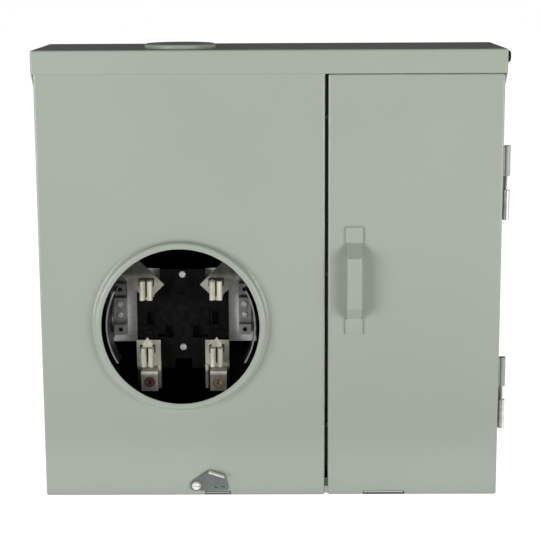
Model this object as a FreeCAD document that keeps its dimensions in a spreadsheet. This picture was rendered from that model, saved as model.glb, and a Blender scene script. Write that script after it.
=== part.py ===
import FreeCAD, Part
import math
import os
import re

import Sketcher
from FreeCAD import Placement, Rotation, Vector

# Electric meter box: a sheet steel enclosure with a meter socket behind a collared cover
# on the left and a main breaker behind a hinged door on the right.
# Millimetres. X runs to the right, -Y to the front, +Z up.
# The origin is the middle of the back face, which lies on the wall.

SIZES = {
    # sheets and gaps of the enclosure
    "sheet": 1.5,
    "bend": 2.2,
    "box_width": 476.2,
    "box_height": 468.3,
    "box_depth": 132.3,
    "cover_gap": 0.3,
    "lip_gap": 0.5,
    "cap_gap": 0.8,
    "weld_gap": 0.1,
    "cover_flange": 16.0,
    "strip_height": 24.5,
    "cap_side_height": 36.0,
    "cap_notch": 2.5,
    "cover_hook": 12.0,
    "tray_lip": 17.0,
    # holes to the outside
    "wall_hole_side": 38.1,
    "wall_hole_end": 34.15,
    "wall_hole_radius": 4.0,
    "knockout_groove": 0.5,
    "knockout_line": 0.8,
    "bottom_knockout": 31.0,
    "bottom_knockout_x": 150.0,
    "side_knockout": 14.0,
    "side_knockout_height": 70.0,
    "knockout_y": 66.0,
    # conduit hub on top
    "hub_x": -92.4,
    "hub_setback": 46.0,
    "hub_radius": 36.7,
    "hub_hole": 33.0,
    "hub_rise": 4.6,
    "stud_radius": 2.5,
    "stud_spacing": 40.0,
    "clamp_width": 14.0,
    "clamp_overlap": 8.0,
    "nut_radius": 4.6,
    "nut_height": 3.5,
    # plug in the side of the cap
    "plug_radius": 6.0,
    "plug_rise": 3.2,
    "plug_hole": 4.0,
    "plug_drop": 8.2,
    "plug_setback": 9.0,
    # compartments
    "split_x": 58.75,
    "split_gap": 3.5,
    "divider_setback": 5.2,
    "divider_depth": 22.0,
    "divider_flange": 19.0,
    "divider_foot": 14.0,
    "cable_hole": 24.0,
    "cable_hole_height": 62.0,
    "cable_hole_y": 62.0,
    "grommet_lip": 3.0,
    "rivet_radius": 2.6,
    "rivet_rise": 1.4,
    "rivet_low": 71.5,
    "rivet_drop": 45.8,
    # meter cover with its collar
    "meter_offset": 93.4,
    "meter_height": 183.7,
    "collar_radius": 82.5,
    "collar_height": 8.0,
    "collar_root": 4.0,
    "collar_lip": 6.8,
    "lip_bend": 3.0,
    # cover latch
    "latch_x": 14.0,
    "latch_height": 11.6,
    "latch_screw_head": 4.85,
    "latch_screw_rise": 3.4,
    "latch_screw_shank": 2.4,
    "latch_fit": 0.15,
    "latch_boss": 6.6,
    "latch_reach": 33.0,
    "latch_tab_rise": 8.0,
    "slot_x": 36.9,
    "slot_width": 28.0,
    "slot_low": 0.9,
    "slot_high": 5.0,
    "tab_gap": 1.0,
    # door
    "door_lift": 0.2,
    "door_top_gap": 0.5,
    "door_left_flange": 18.0,
    "door_edge": 8.0,
    "door_top_flange": 10.0,
    "door_relief": 4.0,
    "door_top_inset": 6.5,
    "lock_x": 120.1,
    "lock_slot": 44.0,
    "lock_slot_low": 0.9,
    "lock_slot_high": 4.4,
    "slot_tab_inset": 0.4,
    "lock_tab_inset": 1.0,
    "lock_hole": 4.75,
    "lock_hole_inset": 9.1,
    # hinges
    "hinge_gap": 0.95,
    "knuckle_radius": 3.5,
    "pin_radius": 1.5,
    "pin_fit": 0.08,
    "knuckle_length": 31.0,
    "pin_show": 15.0,
    "hinge_height": 72.0,
    "hinge_drop": 151.8,
    "hinge_leaf": 30.0,
    # door handle
    "handle_x": 87.5,
    "handle_height": 232.9,
    "handle_pad_width": 18.2,
    "handle_pad": 16.5,
    "handle_length": 113.5,
    "handle_width": 16.0,
    "handle_rise": 17.5,
    "handle_slope": 15.0,
    "handle_wall": 1.8,
    "handle_lip": 5.0,
    "handle_round": 3.2,
    # socket block and bracket
    "socket_rise": 5.5,
    "bracket_depth": 46.0,
    "bracket_half": 79.0,
    "bracket_low": 32.9,
    "bracket_high": 47.0,
    "bracket_foot": 14.0,
    "support_front": -1.5,
    "support_radius": 77.0,
    "support_low": 40.0,
    "support_high": 37.0,
    "support_gap": 1.4,
    "support_leg": 21.0,
    "base_depth": 36.0,
    "plate_depth": 28.0,
    "plate": 3.0,
    "column_half": 23.8,
    "column_top": 47.9,
    "wide_half": 48.8,
    "wide_top": 23.6,
    "leg_inner": 9.0,
    "leg_outer": 23.3,
    "leg_low": 60.5,
    "spine_low": 49.7,
    "well_depth": 8.0,
    "base_screw_high": 42.1,
    "base_screw_low": 37.2,
    # jaws and their connectors
    "jaw_x": 36.6,
    "jaw_front": 6.0,
    "jaw_width": 13.6,
    "jaw_leaf": 1.3,
    "jaw_slit": 0.8,
    "jaw_throat": 5.0,
    "jaw_flare": 5.6,
    "line_jaw_z": 30.0,
    "load_jaw_z": 42.0,
    "jaw_length": 20.2,
    "tip_rise": 10.6,
    "line_bar": 24.8,
    "line_bar_shift": 1.9,
    "line_bar_end": 10.5,
    "line_bar_length": 66.5,
    "lug_depth": 14.6,
    "line_lug": 21.0,
    "line_lug_start": 33.0,
    "line_wire": 6.0,
    "line_wire_wall": 0.8,
    "load_plate": 25.4,
    "load_plate_top": 27.6,
    "load_plate_low": 52.0,
    "load_lug_top": 57.6,
    "load_lug_low": 79.0,
    "load_lug_front": 17.0,
    "load_lug_width": 17.6,
    "load_lug_shift": 1.7,
    "load_wire": 6.5,
    "lug_screw": 5.8,
    "lug_sink": 0.8,
    "hex_socket": 2.9,
    "hex_depth": 2.8,
    # neutral bars beside the socket
    "neutral_depth": 31.0,
    "neutral_x": 66.4,
    "neutral_width": 13.0,
    "neutral_wire": 3.2,
    "neutral_hole": 2.4,
    "neutral_sink": 3.6,
    # lining
    "liner": 1.0,
    "liner_gap": 3.0,
    "liner_front": 16.0,
    "liner_window": 11.0,
    "liner_drop": 14.0,
    # breaker compartment
    "panel_x": 147.0,
    "rail_width": 18.0,
    "dead_margin": 4.0,
    "dead_top": 20.0,
    "dead_low": 16.0,
    "pan_depth": 84.0,
    "pan_half": 72.0,
    "pan_low": 70.0,
    "pan_drop": 17.3,
    "main_width": 76.0,
    "main_drop": 43.3,
    "main_height": 112.0,
    "main_clear": 4.0,
    "main_wire": 6.0,
    "main_lug_width": 22.0,
    "main_lug_depth": 22.0,
    "main_lug_height": 24.0,
    "main_lug_gap": 2.0,
    "main_lug_floor": 3.0,
    "main_lug_screw": 13.0,
    "main_lug_bore": 9.0,
    "window_gap": 1.5,
    "boss_width": 36.0,
    "boss_height": 58.0,
    "boss_rise": 3.0,
    "toggle_radius": 9.0,
    "toggle_width": 20.0,
    "toggle_fit": 0.4,
    "toggle_length": 21.0,
    "toggle_thick": 7.0,
    "toggle_tilt": 20.0,
    "branch_gap": 26.0,
    "branch_height": 108.0,
    "branch_pitch": 25.4,
    "branch_half": 34.0,
    "branch_margin": 4.0,
    "branch_depth": 16.0,
    "branch_rib": 6.0,
    "branch_rib_width": 3.0,
    "score_inner": 3.0,
    "score_outer": 66.0,
    "score_gap": 1.0,
    "stab_rise": 14.0,
    "bus_width": 14.0,
    "bus_thick": 3.0,
    "bus_x": 20.0,
    "bar_length": 110.0,
    "bar_section": 10.0,
    "bar_x": 56.0,
    "bar_screw_pitch": 12.0,
    "bar_screw_start": 7.0,
    "bar_screw_sink": 0.6,
    "bar_screw_length": 2.4,
    "bar_standoff": 8.0,
    "bar_block": 14.0,
    "bar_block_height": 10.0,
    "bar_block_inset": 4.0,
    "screw_head": 3.6,
    "screw_rise": 2.2,
    "screw_shank": 2.0,
    "screw_fit": 0.1,
}

# Places that follow from the sizes, each written once.
PLACES = {
    "box_side": "box_width / 2",
    "box_bottom": "-box_height / 2",
    "box_top": "box_height / 2",
    "box_front": "-box_depth",
    "cover_back": "box_front - cover_gap",
    "cover_front": "cover_back - sheet",
    "cover_low": "box_bottom - lip_gap - sheet",
    "cover_side": "box_side + cover_gap + sheet",
    "cap_side": "cover_side + cap_gap + sheet",
    "cap_front": "cover_front - cover_gap - sheet",
    "cap_top": "box_top + sheet",
    "strip_low": "cap_top - strip_height",
    "cap_side_low": "cap_top - cap_side_height",
    "tray_side": "box_side - sheet - weld_gap",
    "tray_back": "-sheet - weld_gap",
    "floor_top": "box_bottom + sheet",
    "socket_x": "-meter_offset",
    "meter_z": "box_bottom + meter_height",
    "line_wire_depth": "plate + line_wire_wall + line_wire",
    "socket_z": "meter_z + socket_rise",
    "cover_right": "split_x - split_gap / 2",
    "door_left": "split_x + split_gap / 2",
    "door_low": "cover_low + door_lift",
    "door_high": "strip_low - door_top_gap",
    "hub_y": "cap_front + hub_setback",
    "divider_x": "split_x - divider_setback - sheet",
    "divider_y": "cover_front + divider_depth",
    "latch_px": "socket_x + latch_x",
    "latch_pz": "cover_low + latch_height",
    "slot_px": "socket_x + slot_x",
    "hinge_x": "cover_side + hinge_gap + knuckle_radius",
    "hinge_y": "cover_front + door_edge",
    "bracket_y": "cover_front + bracket_depth",
    "base_y": "cover_front + base_depth",
    "plate_y": "cover_front + plate_depth",
    "jaw_y": "cover_front + jaw_front",
    "neutral_y": "cover_front + neutral_depth",
    "liner_back": "tray_back - sheet - weld_gap",
    "liner_face": "liner_back - liner",
    "pan_y": "cover_front + pan_depth",
    "dead_y": "divider_y - sheet",
    "main_z": "strip_low - main_drop - main_height / 2",
    "main_bottom": "strip_low - main_drop - main_height",
    "branch_z": "main_bottom - branch_gap - branch_height",
    "toggle_y": "dead_y - boss_rise + toggle_radius - 2.5",
    "plug_y": "cap_front + plug_setback",
    "plug_z": "cap_top - plug_drop",
}

doc = FreeCAD.newDocument("meter_box")
sizes = doc.addObject("Spreadsheet::Sheet", "sizes")
for row, (alias, number) in enumerate(SIZES.items(), start=1):
    sizes.set("A%d" % row, alias)
    sizes.set("B%d" % row, str(number))
    sizes.setAlias("B%d" % row, alias)
doc.recompute()

sub_parts = []


# Helpers: names of sizes in a text become cells of the sheet.

def bound(text):
    """The expression for a text: each place is written out and each size points at its cell."""

    def swap(match):
        word = match.group()
        if word in PLACES:
            return "(" + bound(PLACES[word]) + ")"
        return "sizes." + word if word in SIZES else word

    return re.sub(r"[a-z][a-z_]*", swap, str(text))


def value(text):
    """The number that an expression gives now."""
    found = sizes.evalExpression(bound(text))
    return float(getattr(found, "Value", found))


def drive(thing, prop, text):
    thing.setExpression(prop, bound(text))


def sound(feature):
    """Recomputes and stops at a feature that failed."""
    doc.recompute()
    if not feature.isValid() or feature.Shape.isNull() or not feature.Shape.isValid():
        raise RuntimeError(feature.Name + " failed: " + feature.getStatusString())
    return feature


def keep(thing, label):
    """Names a finished sub-part, so that it is checked and written."""
    thing.Label = label
    sub_parts.append(thing)
    return thing


def place(thing, at):
    for axis, text in zip("xyz", at):
        drive(thing, "Placement.Base." + axis, text)


def block(name, x, y, z):
    """A box between low and high bounds on each axis."""
    box = doc.addObject("Part::Box", name)
    for prop, (low, high) in zip(("Length", "Width", "Height"), (x, y, z)):
        drive(box, prop, "(%s) - (%s)" % (high, low))
    place(box, (x[0], y[0], z[0]))
    return box


TURNS = {
    "x": Rotation(Vector(0, 1, 0), 90),
    "y": Rotation(Vector(1, 0, 0), -90),
    "z": Rotation(),
}


def rod(name, radius, axis, at, length):
    """A cylinder that starts at a point and runs along +axis."""
    cylinder = doc.addObject("Part::Cylinder", name)
    cylinder.Placement = Placement(Vector(), TURNS[axis])
    drive(cylinder, "Radius", radius)
    drive(cylinder, "Height", length)
    place(cylinder, at)
    return cylinder


def cone(name, low_radius, high_radius, axis, at, length):
    """A cone frustum that starts at a point and runs along +axis."""
    frustum = doc.addObject("Part::Cone", name)
    frustum.Placement = Placement(Vector(), TURNS[axis])
    drive(frustum, "Radius1", low_radius)
    drive(frustum, "Radius2", high_radius)
    drive(frustum, "Height", length)
    place(frustum, at)
    return frustum


def joined(name, parts):
    fuse = doc.addObject("Part::MultiFuse", name)
    fuse.Shapes = parts
    fuse.Refine = True
    return fuse


def less(name, base, tools):
    """The base with every tool cut away."""
    cut = doc.addObject("Part::Cut", name)
    cut.Base = base
    cut.Tool = tools[0] if len(tools) == 1 else joined(name + "_tools", tools)
    return cut


def group(name, parts):
    """Identical separate solids that share one sub-part."""
    compound = doc.addObject("Part::Compound", name)
    compound.Links = parts
    return compound


def new_body(name, at=("0", "0", "0"), turn=None):
    """An empty body at a place, with its features in its own axes."""
    body = doc.addObject("PartDesign::Body", name)
    if turn is not None:
        body.Placement = Placement(Vector(), turn)
    place(body, at)
    return body


PLANES = {"XY": "XY_Plane", "XZ": "XZ_Plane", "YZ": "YZ_Plane"}


def sketch_on(body, name, plane, offset):
    """An empty sketch on a plane of the body, moved along the plane's normal."""
    sketch = body.newObject("Sketcher::SketchObject", name)
    support = [f for f in body.Origin.OriginFeatures if f.Role == PLANES[plane]][0]
    sketch.AttachmentSupport = [(support, "")]
    sketch.MapMode = "FlatFace"
    drive(sketch, "AttachmentOffset.Base.z", offset)
    return sketch


def pin_point(sketch, geometry, spot, x, y):
    """Ties a point of the sketch to two expressions."""
    for kind, text in (("DistanceX", x), ("DistanceY", y)):
        number = sketch.addConstraint(
            Sketcher.Constraint(kind, -1, 1, geometry, spot, value(text))
        )
        drive(sketch, "Constraints[%d]" % number, text)


def arc_between(start, end, radius):
    """The short arc from start to end. A positive radius turns to the left."""
    chord = end - start
    middle = (start + end) * 0.5
    rise = math.sqrt(max(radius**2 - (chord.Length / 2) ** 2, 0.0))
    side = Vector(-chord.y, chord.x, 0).normalize() * math.copysign(1, radius)
    centre = middle + side * rise
    if radius < 0:
        start, end = end, start
    first = math.atan2(start.y - centre.y, start.x - centre.x)
    last = math.atan2(end.y - centre.y, end.x - centre.x)
    circle = Part.Circle(centre, Vector(0, 0, 1), abs(radius))
    return Part.ArcOfCircle(circle, first, last)


def draw_loop(sketch, points):
    """A closed outline. A point with a third entry starts an arc of that radius."""
    first = sketch.GeometryCount
    spots = [Vector(value(p[0]), value(p[1]), 0) for p in points]
    ends = []
    for i, point in enumerate(points):
        start, end = spots[i], spots[(i + 1) % len(spots)]
        if len(point) == 2:
            sketch.addGeometry(Part.LineSegment(start, end), False)
            ends.append((1, 2))
            continue
        radius = value(point[2])
        number = sketch.addGeometry(arc_between(start, end, radius), False)
        ends.append((1, 2) if radius > 0 else (2, 1))
        bend = sketch.addConstraint(Sketcher.Constraint("Radius", number, abs(radius)))
        drive(sketch, "Constraints[%d]" % bend, "abs(%s)" % point[2])
    for i, point in enumerate(points):
        after = (i + 1) % len(points)
        sketch.addConstraint(
            Sketcher.Constraint(
                "Coincident", first + i, ends[i][1], first + after, ends[after][0]
            )
        )
        pin_point(sketch, first + i, ends[i][0], point[0], point[1])


def draw(sketch, shapes):
    """Draws outlines (lists of points) and circles (x, y, radius)."""
    for shape in shapes:
        if isinstance(shape, list):
            draw_loop(sketch, shape)
            continue
        x, y, radius = shape
        circle = Part.Circle(Vector(value(x), value(y), 0), Vector(0, 0, 1), value(radius))
        number = sketch.addGeometry(circle, False)
        size = sketch.addConstraint(Sketcher.Constraint("Radius", number, value(radius)))
        drive(sketch, "Constraints[%d]" % size, radius)
        pin_point(sketch, number, 3, x, y)


def oblong(x, z):
    """A rectangle between low and high bounds."""
    return [(x[0], z[0]), (x[1], z[0]), (x[1], z[1]), (x[0], z[1])]


def pad(body, name, plane, shapes, low, high):
    """Adds the shapes' extrusion between two positions on the plane's normal axis."""
    start = "-(%s)" % high if plane == "XZ" else low
    sketch = sketch_on(body, name + "_sketch", plane, start)
    draw(sketch, shapes)
    feature = body.newObject("PartDesign::Pad", name)
    feature.Profile = sketch
    drive(feature, "Length", "(%s) - (%s)" % (high, low))
    return sound(feature)


def pocket(body, name, plane, shapes, low, high):
    """Cuts the shapes' extrusion between two positions on the plane's normal axis."""
    before = body.Tip.Shape.Volume
    start = "-(%s)" % low if plane == "XZ" else high
    sketch = sketch_on(body, name + "_sketch", plane, start)
    draw(sketch, shapes)
    feature = body.newObject("PartDesign::Pocket", name)
    feature.Profile = sketch
    drive(feature, "Length", "(%s) - (%s)" % (high, low))
    sound(feature)
    if not feature.Shape.Volume < before:
        raise RuntimeError(name + " cuts nothing")
    return feature


def turned(body, name, plane, outline, axis):
    """Adds a revolved outline about one of the body's own axes."""
    sketch = sketch_on(body, name + "_sketch", plane, "0")
    draw(sketch, [outline])
    feature = body.newObject("PartDesign::Revolution", name)
    feature.Profile = sketch
    line = [f for f in body.Origin.OriginFeatures if f.Role == axis][0]
    feature.ReferenceAxis = (line, [""])
    feature.Angle = 360
    return sound(feature)


def on_planes(shape, kind, spots):
    """Names of the edges or faces that lie on a plane of each given axis, such as x=3."""
    names = []
    for number, piece in enumerate(getattr(shape, kind + "s"), start=1):
        box = piece.BoundBox
        spans = {
            "x": (box.XMin, box.XMax),
            "y": (box.YMin, box.YMax),
            "z": (box.ZMin, box.ZMax),
        }
        if all(abs(end - at) < 1e-4 for axis, at in spots.items() for end in spans[axis]):
            names.append("%s%d" % (kind, number))
    return names


def fillet(body, name, picks, radius):
    """Rounds the edges of the last feature that lie on the given planes."""
    base = body.Tip
    names = sorted({n for spots in picks for n in on_planes(base.Shape, "Edge", spots)})
    feature = body.newObject("PartDesign::Fillet", name)
    feature.Base = (base, names)
    drive(feature, "Radius", radius)
    return sound(feature)


def shell(body, name, picks, wall):
    """Hollows the last feature to a sheet, open at the faces on the given planes."""
    base = body.Tip
    names = [n for spots in picks for n in on_planes(base.Shape, "Face", spots)]
    feature = body.newObject("PartDesign::Thickness", name)
    feature.Base = (base, names)
    drive(feature, "Value", wall)
    feature.Reversed = True
    return sound(feature)


def folded_pan(body, name, x, z, front, depth, open_top):
    """A sheet pan that opens to the back, with rounded folds. It may be open at the top too."""
    pad(body, name + "_pad", "XZ", [oblong(x, z)], front, "(%s) + %s" % (front, depth))
    for step, at, radius in (("outer", "0", "bend"), ("inner", "sheet", "bend - sheet")):
        sides = [value("%s + %s" % (x[0], at)), value("%s - (%s)" % (x[1], at))]
        ends = [value("%s + %s" % (z[0], at))]
        if not open_top:
            ends.append(value("%s - (%s)" % (z[1], at)))
        face = value("%s + %s" % (front, at))
        if step == "inner":
            high = z[1] + (" + 1" if open_top else " - sheet")
            inset = (x[0] + " + sheet", x[1] + " - sheet")
            pocket(body, name + "_hollow", "XZ", [oblong(inset, (z[0] + " + sheet", high))],
                   "%s + sheet" % front, "(%s) + %s + 1" % (front, depth))
        picks = [{"y": face, "x": side} for side in sides]
        picks += [{"y": face, "z": end} for end in ends]
        picks += [{"x": side, "z": end} for side in sides for end in ends]
        fillet(body, "%s_%s_bends" % (name, step), picks, radius)


def screw(name, at, axis_sign, head, rise, shank, length, slot=True):
    """A pan head screw along Y. at is the middle of the face under its head,
    and axis_sign is -1 where the head points to the front."""
    x, y, z = at
    rim = "(%s) * 0.45" % rise
    if axis_sign < 0:
        low = "(%s) - %s" % (y, rim)
        top = cone(name + "_top", "(%s) * 0.72" % head, head, "y",
                   (x, "(%s) - (%s)" % (y, rise), z), "(%s) - %s" % (rise, rim))
        body_rod = rod(name + "_shank", shank, "y", (x, y, z), length)
        cut_y = ("(%s) - (%s) - 1" % (y, rise), "(%s) - %s" % (y, rim))
    else:
        low = y
        top = cone(name + "_top", head, "(%s) * 0.72" % head, "y",
                   (x, "(%s) + %s" % (y, rim), z), "(%s) - %s" % (rise, rim))
        body_rod = rod(name + "_shank", shank, "y", (x, "(%s) - (%s)" % (y, length), z), length)
        cut_y = ("(%s) + %s" % (y, rim), "(%s) + (%s) + 1" % (y, rise))
    side = rod(name + "_head", head, "y", (x, low, z), rim)
    solid = joined(name + "_solid", [side, top, body_rod])
    if not slot:
        return solid
    width = "(%s) * 0.13" % head
    groove = block(name + "_slot", ("(%s) - (%s) * 1.1" % (x, head), "(%s) + (%s) * 1.1" % (x, head)),
                   cut_y, ("(%s) - %s" % (z, width), "(%s) + %s" % (z, width)))
    return less(name, solid, [groove])


# Enclosure

def wall_holes():
    return [
        ("%s * (box_side - wall_hole_side)" % sx, "%s * (box_height / 2 - wall_hole_end)" % sz)
        for sx in (-1, 1)
        for sz in (-1, 1)
    ]


def knockout(body, name, plane, x, y, radius, low, high):
    """A scored ring that marks a disc to be punched out."""
    ring = [(x, y, radius), (x, y, "%s - knockout_line" % radius)]
    return pocket(body, name, plane, ring, low, high)


def enclosure_shell():
    """Back and both sides, folded from one sheet."""
    body = new_body("shell_body")
    profile = [
        ("-box_side", "box_front"),
        ("-box_side + sheet", "box_front"),
        ("-box_side + sheet", "-sheet"),
        ("box_side - sheet", "-sheet"),
        ("box_side - sheet", "box_front"),
        ("box_side", "box_front"),
        ("box_side", "0"),
        ("-box_side", "0"),
    ]
    pad(body, "shell_pad", "XY", [profile], "box_bottom", "box_top")
    side, sheet = value("box_side"), value("sheet")
    fillet(body, "shell_bends", [{"x": -side, "y": 0}, {"x": side, "y": 0}], "bend")
    inner = [{"x": s * (side - sheet), "y": -sheet} for s in (-1, 1)]
    fillet(body, "shell_inner_bends", inner, "bend - sheet")
    holes = [(x, z, "wall_hole_radius") for x, z in wall_holes()]
    pocket(body, "shell_wall_holes", "XZ", holes, "-sheet - 1", "1")
    feet = [(x, z, "screw_shank + screw_fit") for x, z in bracket_feet()]
    pocket(body, "shell_bracket_holes", "XZ", feet, "-sheet - 1", "1")
    for label, low, high in (
        ("left", "-box_side - 1", "-box_side + knockout_groove"),
        ("right", "box_side - knockout_groove", "box_side + 1"),
    ):
        knockout(body, "shell_knockout_" + label, "YZ", "-knockout_y",
                 "box_bottom + side_knockout_height", "side_knockout", low, high)
    keep(body, "enclosure_shell")


def bottom_end_wall():
    """Bottom tray with weld lips on all sides and the two tabs that pass through the covers."""
    body = new_body("tray_body")
    pad(body, "tray_pad", "XY", [oblong(("-tray_side", "tray_side"), ("box_front", "tray_back"))],
        "box_bottom", "box_bottom + tray_lip")
    back = value("tray_back")
    fillet(body, "tray_back_corners", [{"x": s * value("tray_side"), "y": back} for s in (-1, 1)],
           "bend")
    shell(body, "tray_shell", [{"z": value("box_bottom + tray_lip")}], "sheet")
    tabs = [
        oblong(("slot_px - slot_width / 2 + tab_gap", "slot_px + slot_width / 2 - tab_gap"),
               ("cover_front + slot_tab_inset", "box_front")),
        oblong(("lock_x - lock_slot / 2 + tab_gap", "lock_x + lock_slot / 2 - tab_gap"),
               ("cover_front + lock_tab_inset", "box_front")),
    ]
    pad(body, "tray_tabs", "XY", tabs, "box_bottom", "floor_top")
    pocket(body, "tray_lock_hole", "XY", [("lock_x", "cover_front + lock_hole_inset", "lock_hole")],
           "box_bottom - 1", "floor_top + 1")
    pocket(body, "tray_latch_hole", "XZ", [("latch_px", "latch_pz", "latch_screw_shank + screw_fit")],
           "box_front - 1", "box_front + sheet + 1")
    for label, x in (("left", "-bottom_knockout_x"), ("right", "bottom_knockout_x")):
        knockout(body, "tray_knockout_" + label, "XY", x, "-knockout_y", "bottom_knockout",
                 "box_bottom - 1", "box_bottom + knockout_groove")
    keep(body, "bottom_end_wall")


def top_end_cap():
    """Top sheet with a front strip over the covers and bevelled side flanges."""
    body = new_body("cap_body")
    pad(body, "cap_pad", "XY", [oblong(("-cap_side", "cap_side"), ("cap_front", "0"))],
        "cap_side_low", "cap_top")
    side, front, top = value("cap_side"), value("cap_front"), value("cap_top")
    corners = [{"x": -side, "y": front}, {"x": side, "y": front}, {"y": front, "z": top}]
    corners += [{"x": -side, "z": top}, {"x": side, "z": top}]
    fillet(body, "cap_bends", corners, "bend")
    shell(body, "cap_shell", [{"z": value("cap_side_low")}, {"y": 0}], "sheet")
    below = [
        ("cap_front - 1", "cap_side_low - 1"),
        ("cap_front + bend + strip_low + cap_notch - cap_side_low", "cap_side_low - 1"),
        ("cap_front + bend + strip_low + cap_notch - cap_side_low", "cap_side_low"),
        ("cap_front + bend", "strip_low + cap_notch"),
        ("cap_front + bend", "strip_low"),
        ("cap_front - 1", "strip_low"),
    ]
    pocket(body, "cap_bevel", "YZ", [below], "-cap_side - 1", "cap_side + 1")
    pocket(body, "cap_hub_hole", "XY", [("hub_x", "hub_y", "hub_hole")], "box_top - 1", "cap_top + 1")
    pocket(body, "cap_plug_hole", "YZ", [("plug_y", "plug_z", "plug_hole")],
           "cap_side - sheet - 1", "cap_side + 1")
    keep(body, "top_end_cap")


def hub_parts():
    """Closing plate over the conduit hole, with the bar and nuts that clamp it from inside."""
    plate = new_body("hub_body", ("hub_x", "hub_y", "cap_top"))
    outline = [
        ("0", "hub_rise - sheet"),
        ("hub_radius - sheet - bend + sheet", "hub_rise - sheet", "-(bend - sheet)"),
        ("hub_radius - sheet", "hub_rise - bend"),
        ("hub_radius - sheet", "0"),
        ("hub_radius", "0"),
        ("hub_radius", "hub_rise - bend", "bend"),
        ("hub_radius - bend", "hub_rise"),
        ("0", "hub_rise"),
    ]
    turned(plate, "hub_dish", "XZ", outline, "Z_Axis")
    studs = [("%s * stud_spacing / 2" % s, "0", "stud_radius") for s in (-1, 1)]
    pad(plate, "hub_studs", "XY", studs,
        "-sheet - 2 * nut_height - sheet", "hub_rise - sheet / 2")
    keep(plate, "hub_closing_plate")

    bar = new_body("clamp_body", ("hub_x", "hub_y", "box_top"))
    half = "hub_hole + clamp_overlap"
    pad(bar, "clamp_pad", "XY",
        [oblong(("-(%s)" % half, half), ("-clamp_width / 2", "clamp_width / 2"))],
        "-sheet", "0")
    holes = [("%s * stud_spacing / 2" % s, "0", "stud_radius + screw_fit") for s in (-1, 1)]
    pocket(bar, "clamp_holes", "XY", holes, "-sheet - 1", "1")
    keep(bar, "hub_clamp_bar")

    nuts = []
    for number, sign in enumerate((-1, 1), start=1):
        x = "hub_x + %d * stud_spacing / 2" % sign
        nut = doc.addObject("Part::Prism", "hub_nut_%d" % number)
        nut.Polygon = 6
        drive(nut, "Circumradius", "nut_radius")
        drive(nut, "Height", "nut_height")
        place(nut, (x, "hub_y", "box_top - sheet - nut_height"))
        hole = rod("hub_nut_hole_%d" % number, "stud_radius + screw_fit", "z",
                   (x, "hub_y", "box_top - sheet - nut_height - 1"), "nut_height + 2")
        nuts.append(less("hub_nut_cut_%d" % number, nut, [hole]))
    keep(group("hub_nuts", nuts), "hub_clamp_nuts")


def side_hole_plug():
    """Push-in plug with a chamfered head and a barbed stem."""
    body = new_body("plug_body", ("cap_side", "plug_y", "plug_z"))
    outline = [
        ("0", "0"),
        ("-sheet - 2", "0"),
        ("-sheet - 2", "plug_hole - 0.6"),
        ("-sheet - 0.3", "plug_hole + 0.3"),
        ("-sheet - 0.1", "plug_hole - 0.2"),
        ("0", "plug_hole - 0.2"),
        ("0", "plug_radius"),
        ("1", "plug_radius", "-(plug_rise - 1)"),
        ("plug_rise", "plug_radius - plug_rise + 1"),
        ("plug_rise", "0"),
    ]
    turned(body, "plug_turn", "XY", outline, "X_Axis")
    keep(body, "side_hole_plug")


def rivet_heights():
    """Heights of three rivets, the middle one halfway between the others."""
    low, high = "cover_low + rivet_low", "strip_low - rivet_drop"
    return [high, "(%s + %s) / 2" % (low, high), low]


def compartment_divider():
    """Folded wall between the two compartments, with a front flange behind the gap."""
    body = new_body("divider_body")
    profile = [
        ("divider_x", "divider_y"),
        ("divider_x + divider_flange", "divider_y"),
        ("divider_x + divider_flange", "divider_y + sheet"),
        ("divider_x + sheet", "divider_y + sheet"),
        ("divider_x + sheet", "liner_back"),
        ("divider_x + divider_foot", "liner_back"),
        ("divider_x + divider_foot", "liner_back + sheet"),
        ("divider_x", "liner_back + sheet"),
    ]
    pad(body, "divider_pad", "XY", [profile], "floor_top + tray_lip", "box_top - weld_gap")
    corner = {"x": value("divider_x"), "y": value("divider_y")}
    fillet(body, "divider_bend", [corner], "bend")
    holes = [("split_x + 1.2", z, "rivet_radius / 2 + screw_fit") for z in rivet_heights()]
    pocket(body, "divider_rivet_holes", "XZ", holes, "divider_y - 1", "divider_y + sheet + 1")
    pocket(body, "divider_cable_hole", "YZ",
           [("-cable_hole_y", "floor_top + cable_hole_height", "cable_hole")],
           "divider_x - 1", "divider_x + sheet + 1")
    keep(body, "compartment_divider")

    ring = new_body("grommet_body",
                    ("divider_x + sheet / 2", "-cable_hole_y", "floor_top + cable_hole_height"))
    half = "sheet / 2 + weld_gap"
    outline = [
        ("-(%s) - 2" % half, "cable_hole - 3"),
        ("(%s) + 2" % half, "cable_hole - 3"),
        ("(%s) + 2" % half, "cable_hole + grommet_lip"),
        (half, "cable_hole + grommet_lip"),
        (half, "cable_hole - screw_fit"),
        ("-(%s)" % half, "cable_hole - screw_fit"),
        ("-(%s)" % half, "cable_hole + grommet_lip"),
        ("-(%s) - 2" % half, "cable_hole + grommet_lip"),
    ]
    turned(ring, "grommet_turn", "XY", outline, "X_Axis")
    keep(ring, "cable_grommet")


def divider_rivets():
    """Blind rivets in the divider's front flange, seen through the gap."""
    rivets = []
    for number, z in enumerate(rivet_heights()):
        rivets.append(screw("rivet_%d" % number, ("split_x + 1.2", "divider_y", z), -1,
                            "rivet_radius", "rivet_rise", "rivet_radius / 2", "sheet + 2", False))
    keep(group("rivets", rivets), "divider_rivets")


# Meter cover and its latch

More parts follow.
